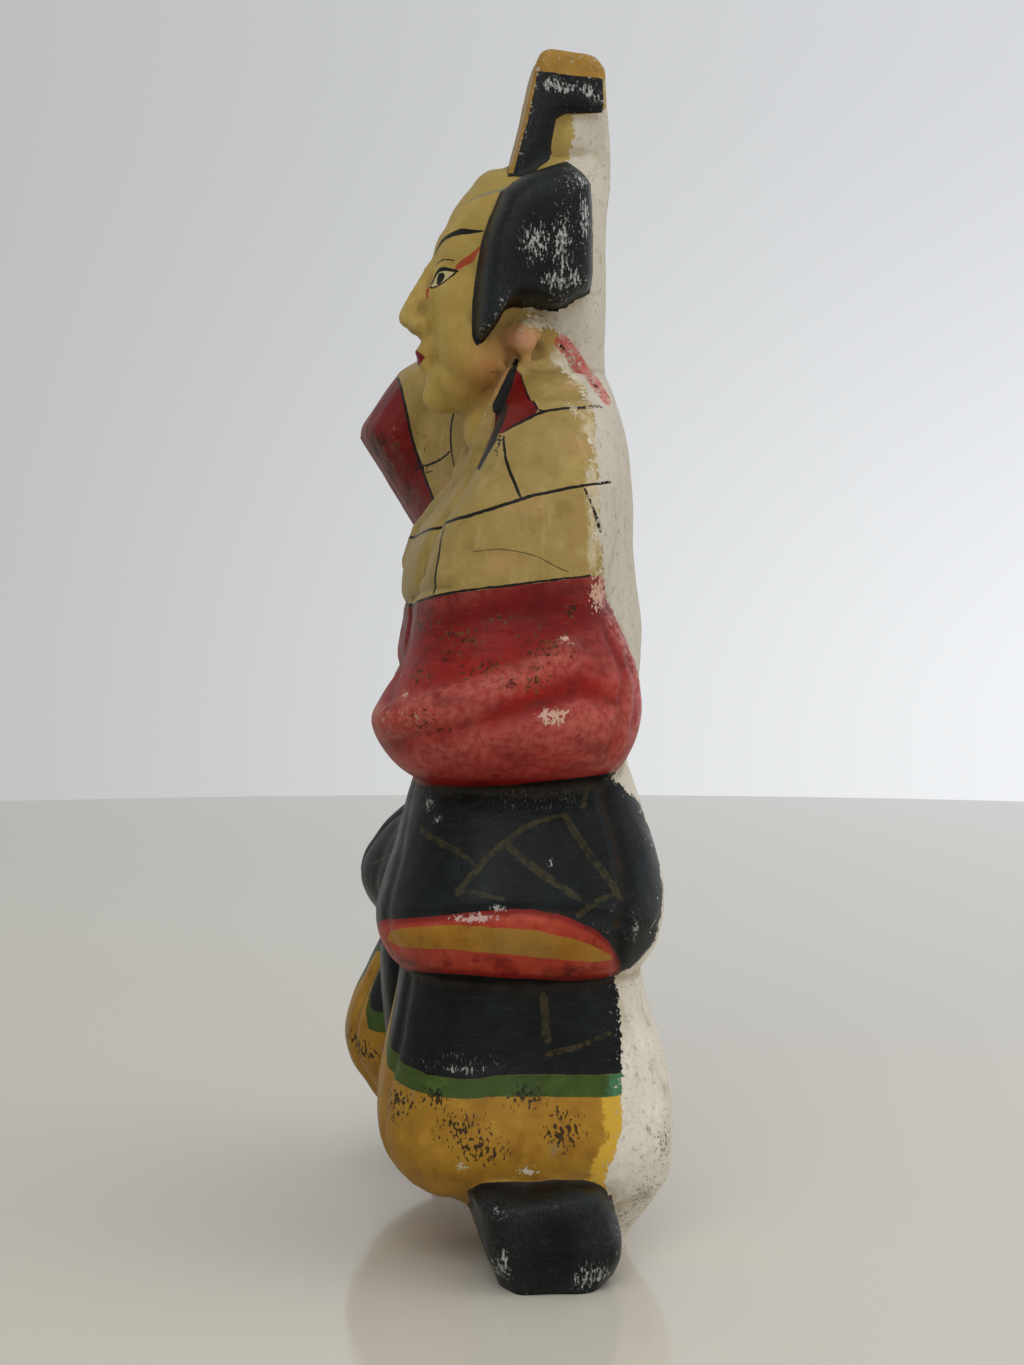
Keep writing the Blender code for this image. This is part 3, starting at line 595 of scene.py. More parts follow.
# Painted lines, by set and projection: points, then half-widths along them. The sets keep lines
# that meet apart. "wrap" is angle round the figure and height, "front" and "face" are distance
# across and height, and the rest are depth and height.
LINES = {
    ("ink_a", "wrap"): [
        ([(76.6, 237.1), (82, 239.8), (87, 242.4), (91.5, 243.6), (100, 244.5), (114, 245.8)],
         [0.3, 0.5, 0.45, 0.5, 0.35]),
        ([(-60, 211.5), (-50, 210.5), (-15.5, 208.6), (20, 208.8), (49.2, 210.4), (61, 211),
          (72.6, 213.4), (82.8, 217.4), (89.4, 219.4), (95.6, 220.9), (106, 222.8)],
         [0.4, 0.45, 0.5, 0.5, 0.55, 0.5, 0.4]),
        ([(-110, 197), (-99, 195.9), (-80, 193.2), (-60, 189.8), (0, 187.9), (45, 187.6), (52, 188.2),
          (62.5, 190.1), (71, 191.7), (80, 193.1), (89, 194.5), (99, 196)],
         [0.3, 0.4, 0.35, 0.4, 0.45, 0.4, 0.3]),
        ([(80.2, 257.6), (84.4, 250.6), (88, 243.8)], [0.35, 0.5, 0.35]),
    ],
    ("ink_b", "wrap"): [
        ([(77.4, 236), (78.6, 229.9), (80.7, 223.6), (82.8, 217.9)], [0.4, 0.45, 0.4]),
        ([(97.6, 220.6), (99.8, 214.5), (101.8, 208.8)], [0.35, 0.4, 0.9]),
        ([(62, 211), (63.2, 201), (62.5, 190.6)], [0.4, 0.4, 0.4]),
        ([(18, 208.6), (16, 198), (17, 188.6)], [0.4, 0.45, 0.4]),
        ([(-36, 209.4), (-34, 199), (-35, 189.2)], [0.4, 0.45, 0.4]),
        ([(-84, 218), (-82, 205), (-83, 193.8)], [0.4, 0.45, 0.4]),
    ],
    ("ink_b", "front"): [
        ([(-39, 257), (-35.6, 248), (-31, 238), (-27, 229)], [0.4, 0.45, 0.4]),
    ],
    ("ink_a", "front"): [
        ([(-50.5, 232), (-37, 234.6), (-31.5, 237)], [0.35, 0.45, 0.4]),
    ],
    ("ink_a", "sleeve"): [
        ([(-32.2, 268), (-31.5, 264), (-28.2, 243.6), (-20.8, 220.5), (-17.5, 211)],
         [0.3, 0.45, 0.4, 0.35]),
    ],
    ("ink_b", "collar"): [
        ([(-0.5, 261.5), (-3, 256), (-7, 246.5), (-11, 236.5), (-15.2, 226.5)],
         [0.6, 1.5, 1.9, 1.5, 0.2]),
    ],
    ("haze", "left"): [
        ([(-15, 309.3), (-11.1, 311.3), (-3.7, 313.1)], [0.2, 0.5, 0.6]),
    ],
    ("haze", "right"): [
        ([(-15, 309.3), (-11.1, 311.3), (-3.7, 313.1)], [0.2, 0.5, 0.6]),
    ],
    ("ink_a", "left"): [
        ([(12.4, 266), (16.4, 261), (20.4, 255.2), (23.8, 249.6)], [0.5, 0.6, 0.85, 0.4]),
    ],
    ("ink_a", "face"): [
        ([(4.4, 294.6), (8.5, 298), (14, 300), (20.5, 299.6)], [0.35, 0.85, 1.15, 0.25]),
        (EYE_TOP, [0.35, 0.6, 0.6, 0.3]),
    ],
    ("ink_b", "face"): [
        (EYE_LOW, [0.3, 0.32, 0.36, 0.3]),
        ([(7.2, 291.2), (11.4, 292.2), (15.4, 291.4)], [0.15, 0.25, 0.12]),
    ],
    ("rouge", "face"): [
        ([(15.8, 289.2), (18.6, 291.8), (21, 295.4)], [0.9, 1, 0.3]),
        ([(4.4, 284.8), (4.6, 283), (5.6, 281)], [0.6, 0.6, 0.3]),
    ],
    ("gold_a", "wrap"): [
        ([(59.4, 123.9), (70.8, 118.4), (74, 115)], [0.68, 0.88, 0.49]),
        ([(92.6, 128.6), (96.3, 119.9), (102.8, 105.4)], [0.88, 0.98, 0.78]),
        ([(79.4, 121.5), (85.7, 114.6), (94, 106.4)], [0.78, 0.98, 0.78]),
        ([(71, 109.2), (80.1, 106.5)], [0.68, 0.59]),
        ([(87.9, 78), (88.5, 65.3)], [0.98, 1.1]),
        ([(-62, 124), (-72, 117), (-80, 107)], [0.78, 0.88, 0.68]),
        ([(30, 124), (22, 114), (12, 107)], [0.68, 0.88, 0.59]),
        ([(-28, 124), (-20, 114), (-34, 104)], [0.68, 0.88, 0.59]),
    ],
    ("gold_b", "wrap"): [
        ([(92.9, 128.7), (85.2, 126.2), (79.6, 121.2), (74.8, 115.1), (70.8, 106.9)],
         [0.49, 0.59, 0.88, 0.78, 0.59]),
        ([(99, 135.7), (97, 130.5)], [0.68, 0.68]),
        ([(93.6, 101.4), (97, 105.4), (101.5, 107.2)], [0.68, 0.78, 0.59]),
        ([(88.5, 61.6), (96, 63.8), (102.6, 66.5)], [0.78, 0.68, 0.59]),
        ([(-96, 128), (-88, 118), (-74, 113)], [0.78, 0.88, 0.68]),
        ([(0, 127), (-9, 118), (-1, 110)], [0.68, 0.88, 0.59]),
    ],
    ("fine", "wrap"): [
        ([(72, 202.4), (78.3, 203.2), (86.1, 201.3), (90, 198.6), (93.6, 196.8)],
         [0.12, 0.16, 0.14, 0.16]),
    ],
}
# Beyond this distance a line's fields say that it is far away.
LINE_REACH = 2.6
FAR_ACROSS = 4.0
FAR_WIDTH = -6.0

# Soft patches, by name and projection: the centre across and up, then the half-sizes.
PATCHES = {
    ("spots", "wrap"): [
        (57, 47, 5, 5), (72, 42.5, 5, 5), (76, 37, 5, 4), (84, 50.5, 4, 3), (91, 42, 4.5, 5.5),
        (66, 50, 4, 3), (-60, 46, 6, 5), (-80, 42, 6, 6), (30, 44, 5, 4), (-30, 44, 6, 4),
        (-34, 46, 4, 3),
    ],
    ("mould", "wrap"): [
        (58, 182, 8, 4), (70, 178, 7, 7), (80, 184, 6, 3), (76, 170, 8, 5), (88, 176, 7, 7),
        (94, 186, 4, 4), (62, 168, 6, 3), (-70, 176, 12, 8), (10, 176, 14, 7), (-30, 178, 10, 7),
        (66, 155, 6, 4), (84, 166, 7, 4),
    ],
    ("mould", "front"): [(-66, 238, 20, 11), (-64, 224, 14, 6)],
    ("smoke", "wrap"): [(57, 86.5, 7, 2), (92, 84.6, 5, 2), (98, 99, 4, 2)],
    ("flecks", "left"): [
        (3.4, 294.4, 5, 7), (11.2, 294, 3.5, 11), (18, 302, 2.5, 8), (10, 283.5, 6, 3.5),
        (15, 284, 4, 3), (17, 313, 4, 3), (11.5, 346, 3.5, 3), (23, 343.5, 4, 3), (15, 345, 6, 2.4),
        (12, 5, 7, 4), (-13, 8, 3, 6),
    ],
    ("flecks", "right"): [(2, 300, 5, 8), (12, 290, 4, 10), (16, 344, 6, 3), (4, 6, 8, 4)],
    ("flecks", "wrap"): [
        (89, 116, 1.2, 1.4), (106, 97, 1.4, 4), (60, 131, 2.4, 2), (64, 127, 1.6, 1.4),
        (71, 57.5, 6, 1.2), (79, 104, 2, 1.2),
    ],
    ("soot", "left"): [(30, 20, 5, 8), (25, 12, 4, 5), (36, 34, 4, 8)],
    ("soot", "right"): [(30, 18, 6, 8), (36, 40, 5, 7)],
    ("soot", "wrap"): [(150, 24, 8, 8), (-150, 24, 8, 8)],
    ("flakes", "wrap"): [
        (89, 157, 4.6, 3.2), (92, 178, 2.2, 1.4), (101, 190, 3, 5), (-100, 160, 4, 5),
        (99, 244, 2, 3), (60, 163, 2, 1.6), (84, 31, 3, 1.6), (72, 32, 2.4, 1.4),
        (75, 101.5, 6, 1.6),
    ],
    ("flakes", "left"): [(12.5, 262, 4, 3), (4.5, 272.5, 6, 2.6), (17, 257, 4, 3)],
    ("hatch", "wrap"): [
        (86, 133, 13, 3.4), (70, 60, 5, 2.4), (62, 58.5, 4, 2.2), (76, 59.5, 4, 2.2),
        (66, 91.5, 7, 2.4), (57, 133, 4, 3), (97, 87, 5, 1.8),
    ],
    ("blush", "left"): [(-9, 258.5, 7, 9), (-4, 265, 6, 6)],
    ("blush", "right"): [(-9, 259, 7, 9)],
    ("pink", "left"): [(1.5, 267.5, 4.6, 4.2)],
    ("pink", "right"): [(1.5, 267.5, 4.6, 4.2)],
}
PUPIL_CENTRE = (10.2, 286.7)
PUPIL_RADIUS = 1.9
LIPS_AT = 263.5
LIPS_HALF_WIDTH = 4.4
LIPS_HALF_HEIGHT = 2.5
LIPS_BEHIND = -18
# The value of a colour's field where the colour can't be.
NOWHERE = -5


def from_rows(rows, at):
    xs, ys = zip(*rows)
    return np.interp(at, xs, ys)


def inside_polygon(points, outline):
    """Signed distance into a closed outline, positive inside."""
    outline = np.array(outline, float)
    ends = np.roll(outline, -1, axis=0)
    nearest = np.full(len(points), np.inf)
    within = np.zeros(len(points), bool)
    for start, end in zip(outline, ends):
        run = end - start
        away = points - start
        share = np.clip(away @ run / (run @ run), 0, 1)
        nearest = np.minimum(nearest, np.linalg.norm(away - share[:, None] * run, axis=1))
        crosses = (start[1] > points[:, 1]) != (end[1] > points[:, 1])
        rise = end[1] - start[1] if end[1] != start[1] else 1
        at_x = start[0] + (points[:, 1] - start[1]) / rise * run[0]
        within ^= crosses & (points[:, 0] < at_x)
    return np.where(within, nearest, -nearest)


def smooth_line(points, steps=8):
    """More points along a line, on a curve through those given."""
    rows = [(0, *p) for p in points]
    count = (len(rows) - 1) * steps
    return [tuple(eased(rows, c, k / steps) for c in range(1, len(rows[0]))) for k in range(count + 1)]


class Places:
    """The skin's points in each projection that the paint is laid out in."""

    def __init__(self, points):
        self.x, self.y, self.z = points.T
        self.angle = np.degrees(np.arctan2(self.x, WRAP_CENTRE_Y - self.y))
        across = np.radians(self.angle) * WRAP_RADIUS
        half = np.abs(self.x)
        self.past_collar = self.x - from_rows(COLLAR_STROKE, self.z)
        leg_x, leg_y = LEG_CENTRE
        self.leg_angle = np.degrees(np.arctan2(half - leg_x, leg_y - self.y))
        everywhere = np.ones(len(points), bool)
        self.projections = {
            "wrap": (np.stack([across, self.z], 1), everywhere),
            "front": (np.stack([self.x, self.z], 1), self.y < FRONT_BEFORE),
            "face": (np.stack([half, self.z], 1), (self.y < 0) & (self.z > FACE_ABOVE)),
            "left": (np.stack([self.y, self.z], 1), self.x > SIDE_BEYOND),
            "right": (np.stack([self.y, self.z], 1), self.x < -SIDE_BEYOND),
            "collar": (np.stack([self.y, self.z], 1), self.past_collar > 0),
            "sleeve": (
                np.stack([self.y, self.z], 1),
                (self.x < SLEEVE_INNER) & (self.x > SLEEVE_OUTER) & (self.z > SLEEVE_LOW + 1),
            ),
        }

    def on(self, projection, points):
        """Chosen points in the same units as the skin's own places in that projection."""
        points = np.array(points, float)
        if projection == "wrap":
            points[:, 0] = np.radians(points[:, 0]) * WRAP_RADIUS
        return points


def group_fields(points):
    """For each group of forms, how much nearer a point is to it than to any other group."""
    reach = 5.0
    distances = {}
    for name, add in GROUPS.items():
        form = bmesh.new()
        add(form)
        tree = BVHTree.FromBMesh(form)
        corners = np.array([v.co for v in form.verts]) / U
        form.free()
        near = np.all((points > corners.min(0) - reach) & (points < corners.max(0) + reach), axis=1)
        distance = np.full(len(points), reach)
        for i in np.flatnonzero(near):
            found = tree.find_nearest(Vector(points[i]) * U)[3]
            distance[i] = min(found / U, reach)
        distances[name] = distance
    fields = {}
    for name, own in distances.items():
        others = np.min([d for other, d in distances.items() if other != name], axis=0)
        fields[name] = others - own
    return fields


def region_fields(at, group):
    """Signed fields in mm, positive where each colour goes."""
    x, y, z, angle = at.x, at.y, at.z, at.angle
    fields = {}
    over = {name: group[name] + past for name, past in PAST_BORDER.items()}
    red_low = from_rows(RED_LOW, angle)
    waist = np.minimum(from_rows(RED_TOP, angle) - z, z - red_low + UNDERLAP)
    sleeve = np.maximum(from_rows(SLEEVE_EDGE, z) - y, SLEEVE_OUTER - x)
    off_hand = np.where(z > WRIST, SLEEVE_PAST_HAND - group["hand"], -NOWHERE)
    off_torso = SLEEVE_PAST_TORSO - group["torso"]
    sleeve = np.minimum.reduce([sleeve, z - SLEEVE_LOW, SLEEVE_INNER - x, off_hand, off_torso])
    patch = inside_polygon(at.projections["wrap"][0], at.on("wrap", RED_PATCH))
    lips = 1 - ((x / LIPS_HALF_WIDTH) ** 2 + ((z - LIPS_AT) / LIPS_HALF_HEIGHT) ** 2) ** 0.5
    lips = np.where(y < LIPS_BEHIND, lips * LIPS_HALF_HEIGHT, NOWHERE)
    flap_hem = np.minimum(over["flap"], FLAP_HEM_TOP - z)
    fields["red"] = np.maximum.reduce([waist, sleeve, patch, flap_hem, lips])

    from_nape, _, _ = nearest_on_line(at.projections["left"][0], NAPE_PATCH)
    fields["nape"] = np.where(x > NAPE_INNER, NAPE_PATCH_HALF_WIDTH - from_nape, NOWHERE)

    round_hip = np.where(angle > 0, angle, np.abs(angle) - RIGHT_LENS_BACK)
    for name, top, low in (("lens", LENS_TOP, LENS_LOW), ("ochre", OCHRE_TOP, OCHRE_LOW)):
        inside = np.minimum(from_rows(top, round_hip) - z, z - from_rows(low, round_hip))
        ends = np.minimum(round_hip - top[0][0], top[-1][0] - round_hip) * MM_PER_DEGREE
        fields[name] = np.minimum(inside, ends)

    green_top = from_rows(GREEN_TOP, at.leg_angle)
    green_low = green_top - from_rows(GREEN_WIDTH, at.leg_angle)
    fields["green"] = np.where(z < LEGS_TOP, np.minimum(green_top - z, z - green_low), NOWHERE)
    fields["yellow"] = np.where(z < LEGS_TOP, green_low - z + UNDERLAP, NOWHERE)

    strap_top = np.minimum(z - (GILT_LOW - GILT_SLOPE * y), group["strap"] + GILT_PAST_STRAP)
    strap_front = np.minimum(from_rows(GILT_FRONT, z) - y, group["strap"])
    fields["gilt"] = np.maximum(strap_top, strap_front)

    body_black = np.minimum(red_low - z, z - green_top + UNDERLAP)
    strap_side = np.minimum(over["strap"], STRAP_BLACK_BACK - y)
    fields["black"] = np.maximum.reduce([body_black, over["feet"], over["hair"], strap_side])
    fields["hair_rim"] = np.where(group["hair"] > -1, y - from_rows(HAIR_RIM, z), -4 * NOWHERE)

    white = y - from_rows(PAINT_BACK, z)
    white = np.where((x < SLEEVE_BACK_INNER) & (z > SLEEVE_BACK_LOW), y - SLEEVE_PAINT_BACK, white)
    white = np.where(group["hand"] > 0, y - HAND_PAINT_BACK, white)
    on_hair = np.maximum(group["hair"], group["strap"]) > 0
    white = np.where(on_hair, np.minimum(white, -3), white)
    white = np.where(group["feet"] > 0, np.minimum(y - FOOT_PAINT_BACK, white), white)
    round_the_back = MM_PER_DEGREE * (np.abs(angle) - PAINT_BACK_ANGLE)
    fields["white"] = np.where(z < SLEEVE_BACK_LOW, np.maximum(white, round_the_back), white)

    fields["crown"] = z - from_rows(CREST_LINE, np.abs(angle))
    flesh = np.maximum.reduce([group["head"], group["core"], group["hand"]])
    fields["face"] = flesh + HEAD_PAST_BORDER
    face, in_front = at.projections["face"]
    across = face[:, 0]
    eye = np.minimum(from_rows(EYE_TOP, across) - z, z - from_rows(EYE_LOW, across))
    eye = np.minimum(eye, np.minimum(across - EYE_LOW[0][0], EYE_LOW[-1][0] - across))
    fields["eye"] = np.where(in_front, eye, NOWHERE)
    pupil = PUPIL_RADIUS - np.linalg.norm(face - np.array(PUPIL_CENTRE), axis=1)
    fields["pupil"] = np.where(in_front, np.minimum(pupil, eye + 0.2), NOWHERE)
    return fields


def line_fields(at):
    """For each set, the signed distance across the nearest line and that line's half-width there."""
    sets = {}
    for (name, projection), lines in LINES.items():
        if name not in sets:
            sets[name] = [np.full(len(at.x), start) for start in (FAR_ACROSS, FAR_WIDTH, LINE_REACH)]
        across, width, nearest = sets[name]
        places, seen = at.projections[projection]
        for points, widths in lines:
            line = at.on(projection, smooth_line(points))
            distance, signed, along = nearest_on_line(places, line)
            half = np.interp(along, np.linspace(0, 1, len(widths)), widths)
            length = np.linalg.norm(np.diff(line, axis=0), axis=1).sum()
            beyond = np.maximum(0 - along, along - 1) * length
            half = np.where(beyond > 0, half - beyond, half)
            if projection == "collar":
                half = np.minimum(half, at.past_collar)
            taken = seen & (distance < nearest)
            across[taken] = signed[taken]
            width[taken] = half[taken]
            nearest[taken] = distance[taken]
    return {name: (across, width) for name, (across, width, _) in sets.items()}


def patch_fields(at):
    found = {}
    for (name, projection), rows in PATCHES.items():
        places, seen = at.projections[projection]
        total = found.setdefault(name, np.zeros(len(at.x)))
        for *centre, half_across, half_up in rows:
            a, b = at.on(projection, [centre])[0]
            far = ((places[:, 0] - a) / half_across) ** 2 + ((places[:, 1] - b) / half_up) ** 2
            np.maximum(total, np.where(seen, np.exp(-far), 0), out=total)
    return found


# How many times each measure of the hollows is averaged, and its gain.
HOLLOWS = {"fine": (3, 10), "broad": (30, 20)}
# Height and size of the waves and dents left in the clay.
WAVES = (0.30, 15)
DENTS = (0.13, 5.5)
FOOT_LUMPS = (0.9, 8)
FOOT_INNER = 64
FOOT_TOP = 29


def hollows(mesh, rounds):
    """How hollow the skin is at each point, negative on ridges, averaged over a few neighbours."""
    points, outward = points_of(mesh)
    ends = np.empty(len(mesh.edges) * 2, np.int32)
    mesh.edges.foreach_get("vertices", ends)
    a, b = ends.reshape(-1, 2).T
    count = np.bincount(a, minlength=len(points)) + np.bincount(b, minlength=len(points))

    def around(values):
        total = np.bincount(a, values[b], len(points)) + np.bincount(b, values[a], len(points))
        return total / np.maximum(count, 1)

    mean = np.stack([around(points[:, c]) for c in range(3)], 1)
    bend = ((mean - points) * outward).sum(1)
    for _ in range(rounds):
        bend = (bend + around(bend)) / 2
    return bend


def store(mesh, name, values):
    attribute = mesh.attributes.new(name, "FLOAT", "POINT")
    attribute.data.foreach_set("value", values.astype(np.float32))


def store_pair(mesh, name, first, second):
    attribute = mesh.attributes.new(name, "FLOAT_VECTOR", "POINT")
    rows = np.stack([first, second, np.zeros(len(first))], 1)
    attribute.data.foreach_set("vector", rows.astype(np.float32).ravel())


def rises(points, height_and_size, away=(0, 0, 0)):
    height, size = height_and_size
    return height * np.array([noise.noise(Vector(p) / size + Vector(away)) for p in points])


def roughen(mesh):
    """The slight unevenness of clay pressed by hand into a mould."""
    points, outward = points_of(mesh)
    push = rises(points, WAVES) + rises(points, DENTS, away=(9, 0, 0))
    on_feet = (np.abs(points[:, 0]) > FOOT_INNER) & (points[:, 2] < FOOT_TOP)
    push += np.where(on_feet, rises(points, FOOT_LUMPS), 0)
    set_points(mesh, points + outward * push[:, None])


doll = fused()
carve_grooves(doll.data)
roughen(doll.data)
cut_soles_flat(doll.data)
points, _ = points_of(doll.data)
at = Places(points)
for name, values in region_fields(at, group_fields(points)).items():
    store(doll.data, "to_" + name, values)
for name, (across, width) in line_fields(at).items():
    store_pair(doll.data, "line_" + name, across, width)
for name, values in patch_fields(at).items():
    store(doll.data, "in_" + name, values)
for name, (rounds, gain) in HOLLOWS.items():
    store(doll.data, "hollow_" + name, hollows(doll.data, rounds) * gain)

low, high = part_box("kabuki_doll")
own_low, own_high = points.min(0) * U, points.max(0) * U
shift = Vector([(low[i] + high[i] - own_low[i] - own_high[i]) / 2 for i in range(2)] + [low.z])
doll.data.transform(Matrix.Translation(shift))
doll.data.shade_smooth()
print("skin", len(doll.data.vertices), "points, shift", [round(c * 1000, 2) for c in shift])


# Painted clay


def colour(red, green, blue):
    """An sRGB colour of 0-255 as the linear RGBA that a shader takes."""
    def linear(level):
        level = level / 255
        return level / 12.92 if level <= 0.04045 else ((level + 0.055) / 1.055) ** 2.4
    return (linear(red), linear(green), linear(blue), 1)


class Shades:
    """Short names for the shader nodes that the painted surface is built from."""

    def __init__(self, material):
        material.use_nodes = True
        self.tree = material.node_tree
        self.tree.nodes.clear()
        place = self.node("ShaderNodeTexCoord").outputs["Object"]
        self.mm = self.vector("MULTIPLY", place, (1 / U, 1 / U, 1 / U))

    def node(self, kind, **settings):
        made = self.tree.nodes.new(kind)
        for name, value in settings.items():
            setattr(made, name, value)
        return made

    def feed(self, socket, value):
        if isinstance(value, bpy.types.NodeSocket):
            self.tree.links.new(value, socket)
        else:
            socket.default_value = value

    def maths(self, operation, *values):
        made = self.node("ShaderNodeMath", operation=operation)
        for socket, value in zip(made.inputs, values):
            self.feed(socket, value)
        return made.outputs[0]

    def scaled(self, value, gain, base):
        """The base plus the value times the gain."""
        return self.maths("MULTIPLY_ADD", value, gain, base)

    def vector(self, operation, a, b):
        made = self.node("ShaderNodeVectorMath", operation=operation)
        self.feed(made.inputs[0], a)
        self.feed(made.inputs[1], b)
        return made.outputs[0]

    def stored(self, name):
        return self.node("ShaderNodeAttribute", attribute_name=name).outputs["Fac"]

    def stored_pair(self, name):
        source = self.node("ShaderNodeAttribute", attribute_name=name).outputs["Vector"]
        split = self.node("ShaderNodeSeparateXYZ")
        self.feed(split.inputs[0], source)
        return split.outputs["X"], split.outputs["Y"]

    def height(self):
        split = self.node("ShaderNodeSeparateXYZ")
        self.feed(split.inputs[0], self.mm)
        return split.outputs["Z"]

    def stretched(self, across=1, deep=1, up=1):
        return self.vector("MULTIPLY", self.mm, (across, deep, up))

    def noise(self, size, detail=3, rough=0.55, place=None):
        """Noise of about 0 to 1 whose main features are this many mm across."""
        made = self.node("ShaderNodeTexNoise")
        self.feed(made.inputs["Vector"], place or self.mm)
        made.inputs["Scale"].default_value = 1 / size
        made.inputs["Detail"].default_value = detail
        made.inputs["Roughness"].default_value = rough
        return made.outputs["Fac"]

    def cells(self, size):
        made = self.node("ShaderNodeTexVoronoi")
        self.feed(made.inputs["Vector"], self.mm)
        made.inputs["Scale"].default_value = 1 / size
        return made.outputs["Distance"]

    def ramp(self, value, low, high, start=0.0, end=1.0):
        """From start to end, smoothly, as the value goes from low to high."""
        made = self.node("ShaderNodeMapRange", interpolation_type="SMOOTHSTEP")
        for name, level in (("Value", value), ("From Min", low), ("From Max", high),
                            ("To Min", start), ("To Max", end)):
            self.feed(made.inputs[name], level)
        return made.outputs["Result"]

    def mix(self, share, under, over):
        made = self.node("ShaderNodeMix", data_type="RGBA")
        self.feed(made.inputs["Factor"], share)
        self.feed(made.inputs[6], under)
        self.feed(made.inputs[7], over)
        return made.outputs[2]

    def blend(self, share, under, over):
        made = self.node("ShaderNodeMix", data_type="FLOAT")
        self.feed(made.inputs["Factor"], share)
        self.feed(made.inputs[2], under)
        self.feed(made.inputs[3], over)
        return made.outputs[0]

    def times(self, *values):
        product = values[0]
        for value in values[1:]:
            product = self.maths("MULTIPLY", product, value)
        return product

    def most(self, *values):
        top = values[0]
        for value in values[1:]:
            top = self.maths("MAXIMUM", top, value)
        return top

    def tinted(self, under, value, low, high, share, level):
        """Another colour mixed in, up to this share, as the value goes from low to high."""
        return self.mix(self.ramp(value, low, high, 0, share), under, colour(*level))

    def tones(self, share, *levels):
        """A colour between levels, spread evenly over shares of 0.3 to 0.7."""
        made = colour(*levels[0])
        step = 0.4 / (len(levels) - 1)
        for k, level in enumerate(levels[1:]):
            made = self.tinted(made, share, 0.3 + k * step, 0.3 + (k + 1) * step, 1, level)
        return made


class Texture:
    """The noises and stored fields that every colour of paint shares."""

    def __init__(self, s):
        self.shades = s
        self.broad = s.noise(34, 3)
        self.clouds = s.noise(15, 4, 0.6)
        self.middle = s.noise(8, 4, 0.6)
        self.small = s.noise(2.2, 4, 0.6)
        self.grain = s.noise(0.5, 3, 0.6)
        self.ragged = s.noise(1.3, 5, 0.65)
        self.brushed = s.noise(1.2, 4, 0.6, s.stretched(0.16, 0.16, 1.3))
        self.smudged = s.noise(4.5, 5, 0.62, s.stretched(1, 1, 0.22))
        self.rubbed = s.noise(0.8, 5, 0.72, s.stretched(1, 1, 0.4))
        self.fine_hollow = s.stored("hollow_fine")
        self.broad_hollow = s.stored("hollow_broad")
        wander = s.scaled(s.noise(7, 2), 1.6, -0.8)
        tremble = s.scaled(self.ragged, 0.9, -0.45)
        self.loose = s.maths("ADD", wander, tremble)
        smear = s.scaled(self.smudged, 5, -2.5)
        edge = s.scaled(self.loose, 1.2, s.stored("to_white"))
        edge = s.scaled(s.ramp(s.noise(1.5, 3), 0.42, 0.56, -0.5, 0.5), 0.8, edge)
        self.past_edge = s.scaled(smear, 0.35, edge)
        self.by_edge = s.ramp(s.maths("ADD", self.past_edge, smear), -5.5, -1.5)

    def painted(self, name, wobble=1.0, soft=0.14):
        """1 where a colour was brushed on, with the edge of a loaded brush."""
        edge = self.shades.scaled(self.loose, 0.55 * wobble, self.shades.stored("to_" + name))
        return self.shades.ramp(edge, -soft, soft)

    def drawn(self, name):
        """1 on a painted line, whose width wavers and whose ends run dry."""
        s = self.shades
        across, width = s.stored_pair("line_" + name)
        across = s.scaled(s.maths("SUBTRACT", s.noise(6, 2), 0.5), 0.7, across)
        width = s.scaled(s.maths("SUBTRACT", self.small, 0.5), 0.5, width)
        return s.ramp(s.maths("SUBTRACT", width, s.maths("ABSOLUTE", across)), -0.1, 0.12)


def bare_clay(s, t):
    """The unpainted back: aged white, smudged and specked, with painted light that leaves it paler low
    down.
    """
    smudges = s.blend(0.5, t.smudged, t.middle)
    white = s.tones(smudges, (186, 176, 157), (214, 206, 190), (226, 219, 206))
    white = s.tinted(white, t.broad, 0.5, 0.72, 0.4, (198, 186, 158))
    white = s.tinted(white, t.clouds, 0.56, 0.7, 0.3, (182, 172, 154))
    # Painted light: the bare white greys higher up and stays paler low down, as if lit from below by
    # the table.
    white = s.tinted(white, s.height(), 110, 200, 0.6, (176, 168, 152))
    white = s.tinted(white, s.noise(2.4, 5, 0.7), 0.54, 0.66, 0.6, (150, 138, 114))
    specks = s.ramp(s.noise(0.8, 4, 0.65, s.stretched(1, 1, 0.6)), 0.62, 0.68)
    specks = s.times(specks, s.ramp(s.noise(9, 3), 0.46, 0.6, 0.1, 1))
    low_specks = s.ramp(s.scaled(s.stored("in_soot"), 0.16, s.noise(0.9, 3, 0.6)), 0.66, 0.7)
    specks = s.most(specks, s.times(low_specks, s.ramp(s.stored("in_soot"), 0.05, 0.3)))
    white = s.mix(s.times(specks, s.ramp(t.clouds, 0.4, 0.6, 0.2, 0.75)), white, colour(88, 80, 68))
    scratches = s.ramp(s.noise(0.7, 3, 0.6, s.stretched(1, 1, 0.07)), 0.64, 0.7)
    white = s.mix(s.times(scratches, 0.35), white, colour(126, 114, 96))
    # Darker brown in the fine hollows.
    hollow_darkening = s.ramp(t.fine_hollow, 0.1, 1.0, 0, 0.6)
    return s.mix(hollow_darkening, white, colour(146, 128, 100))


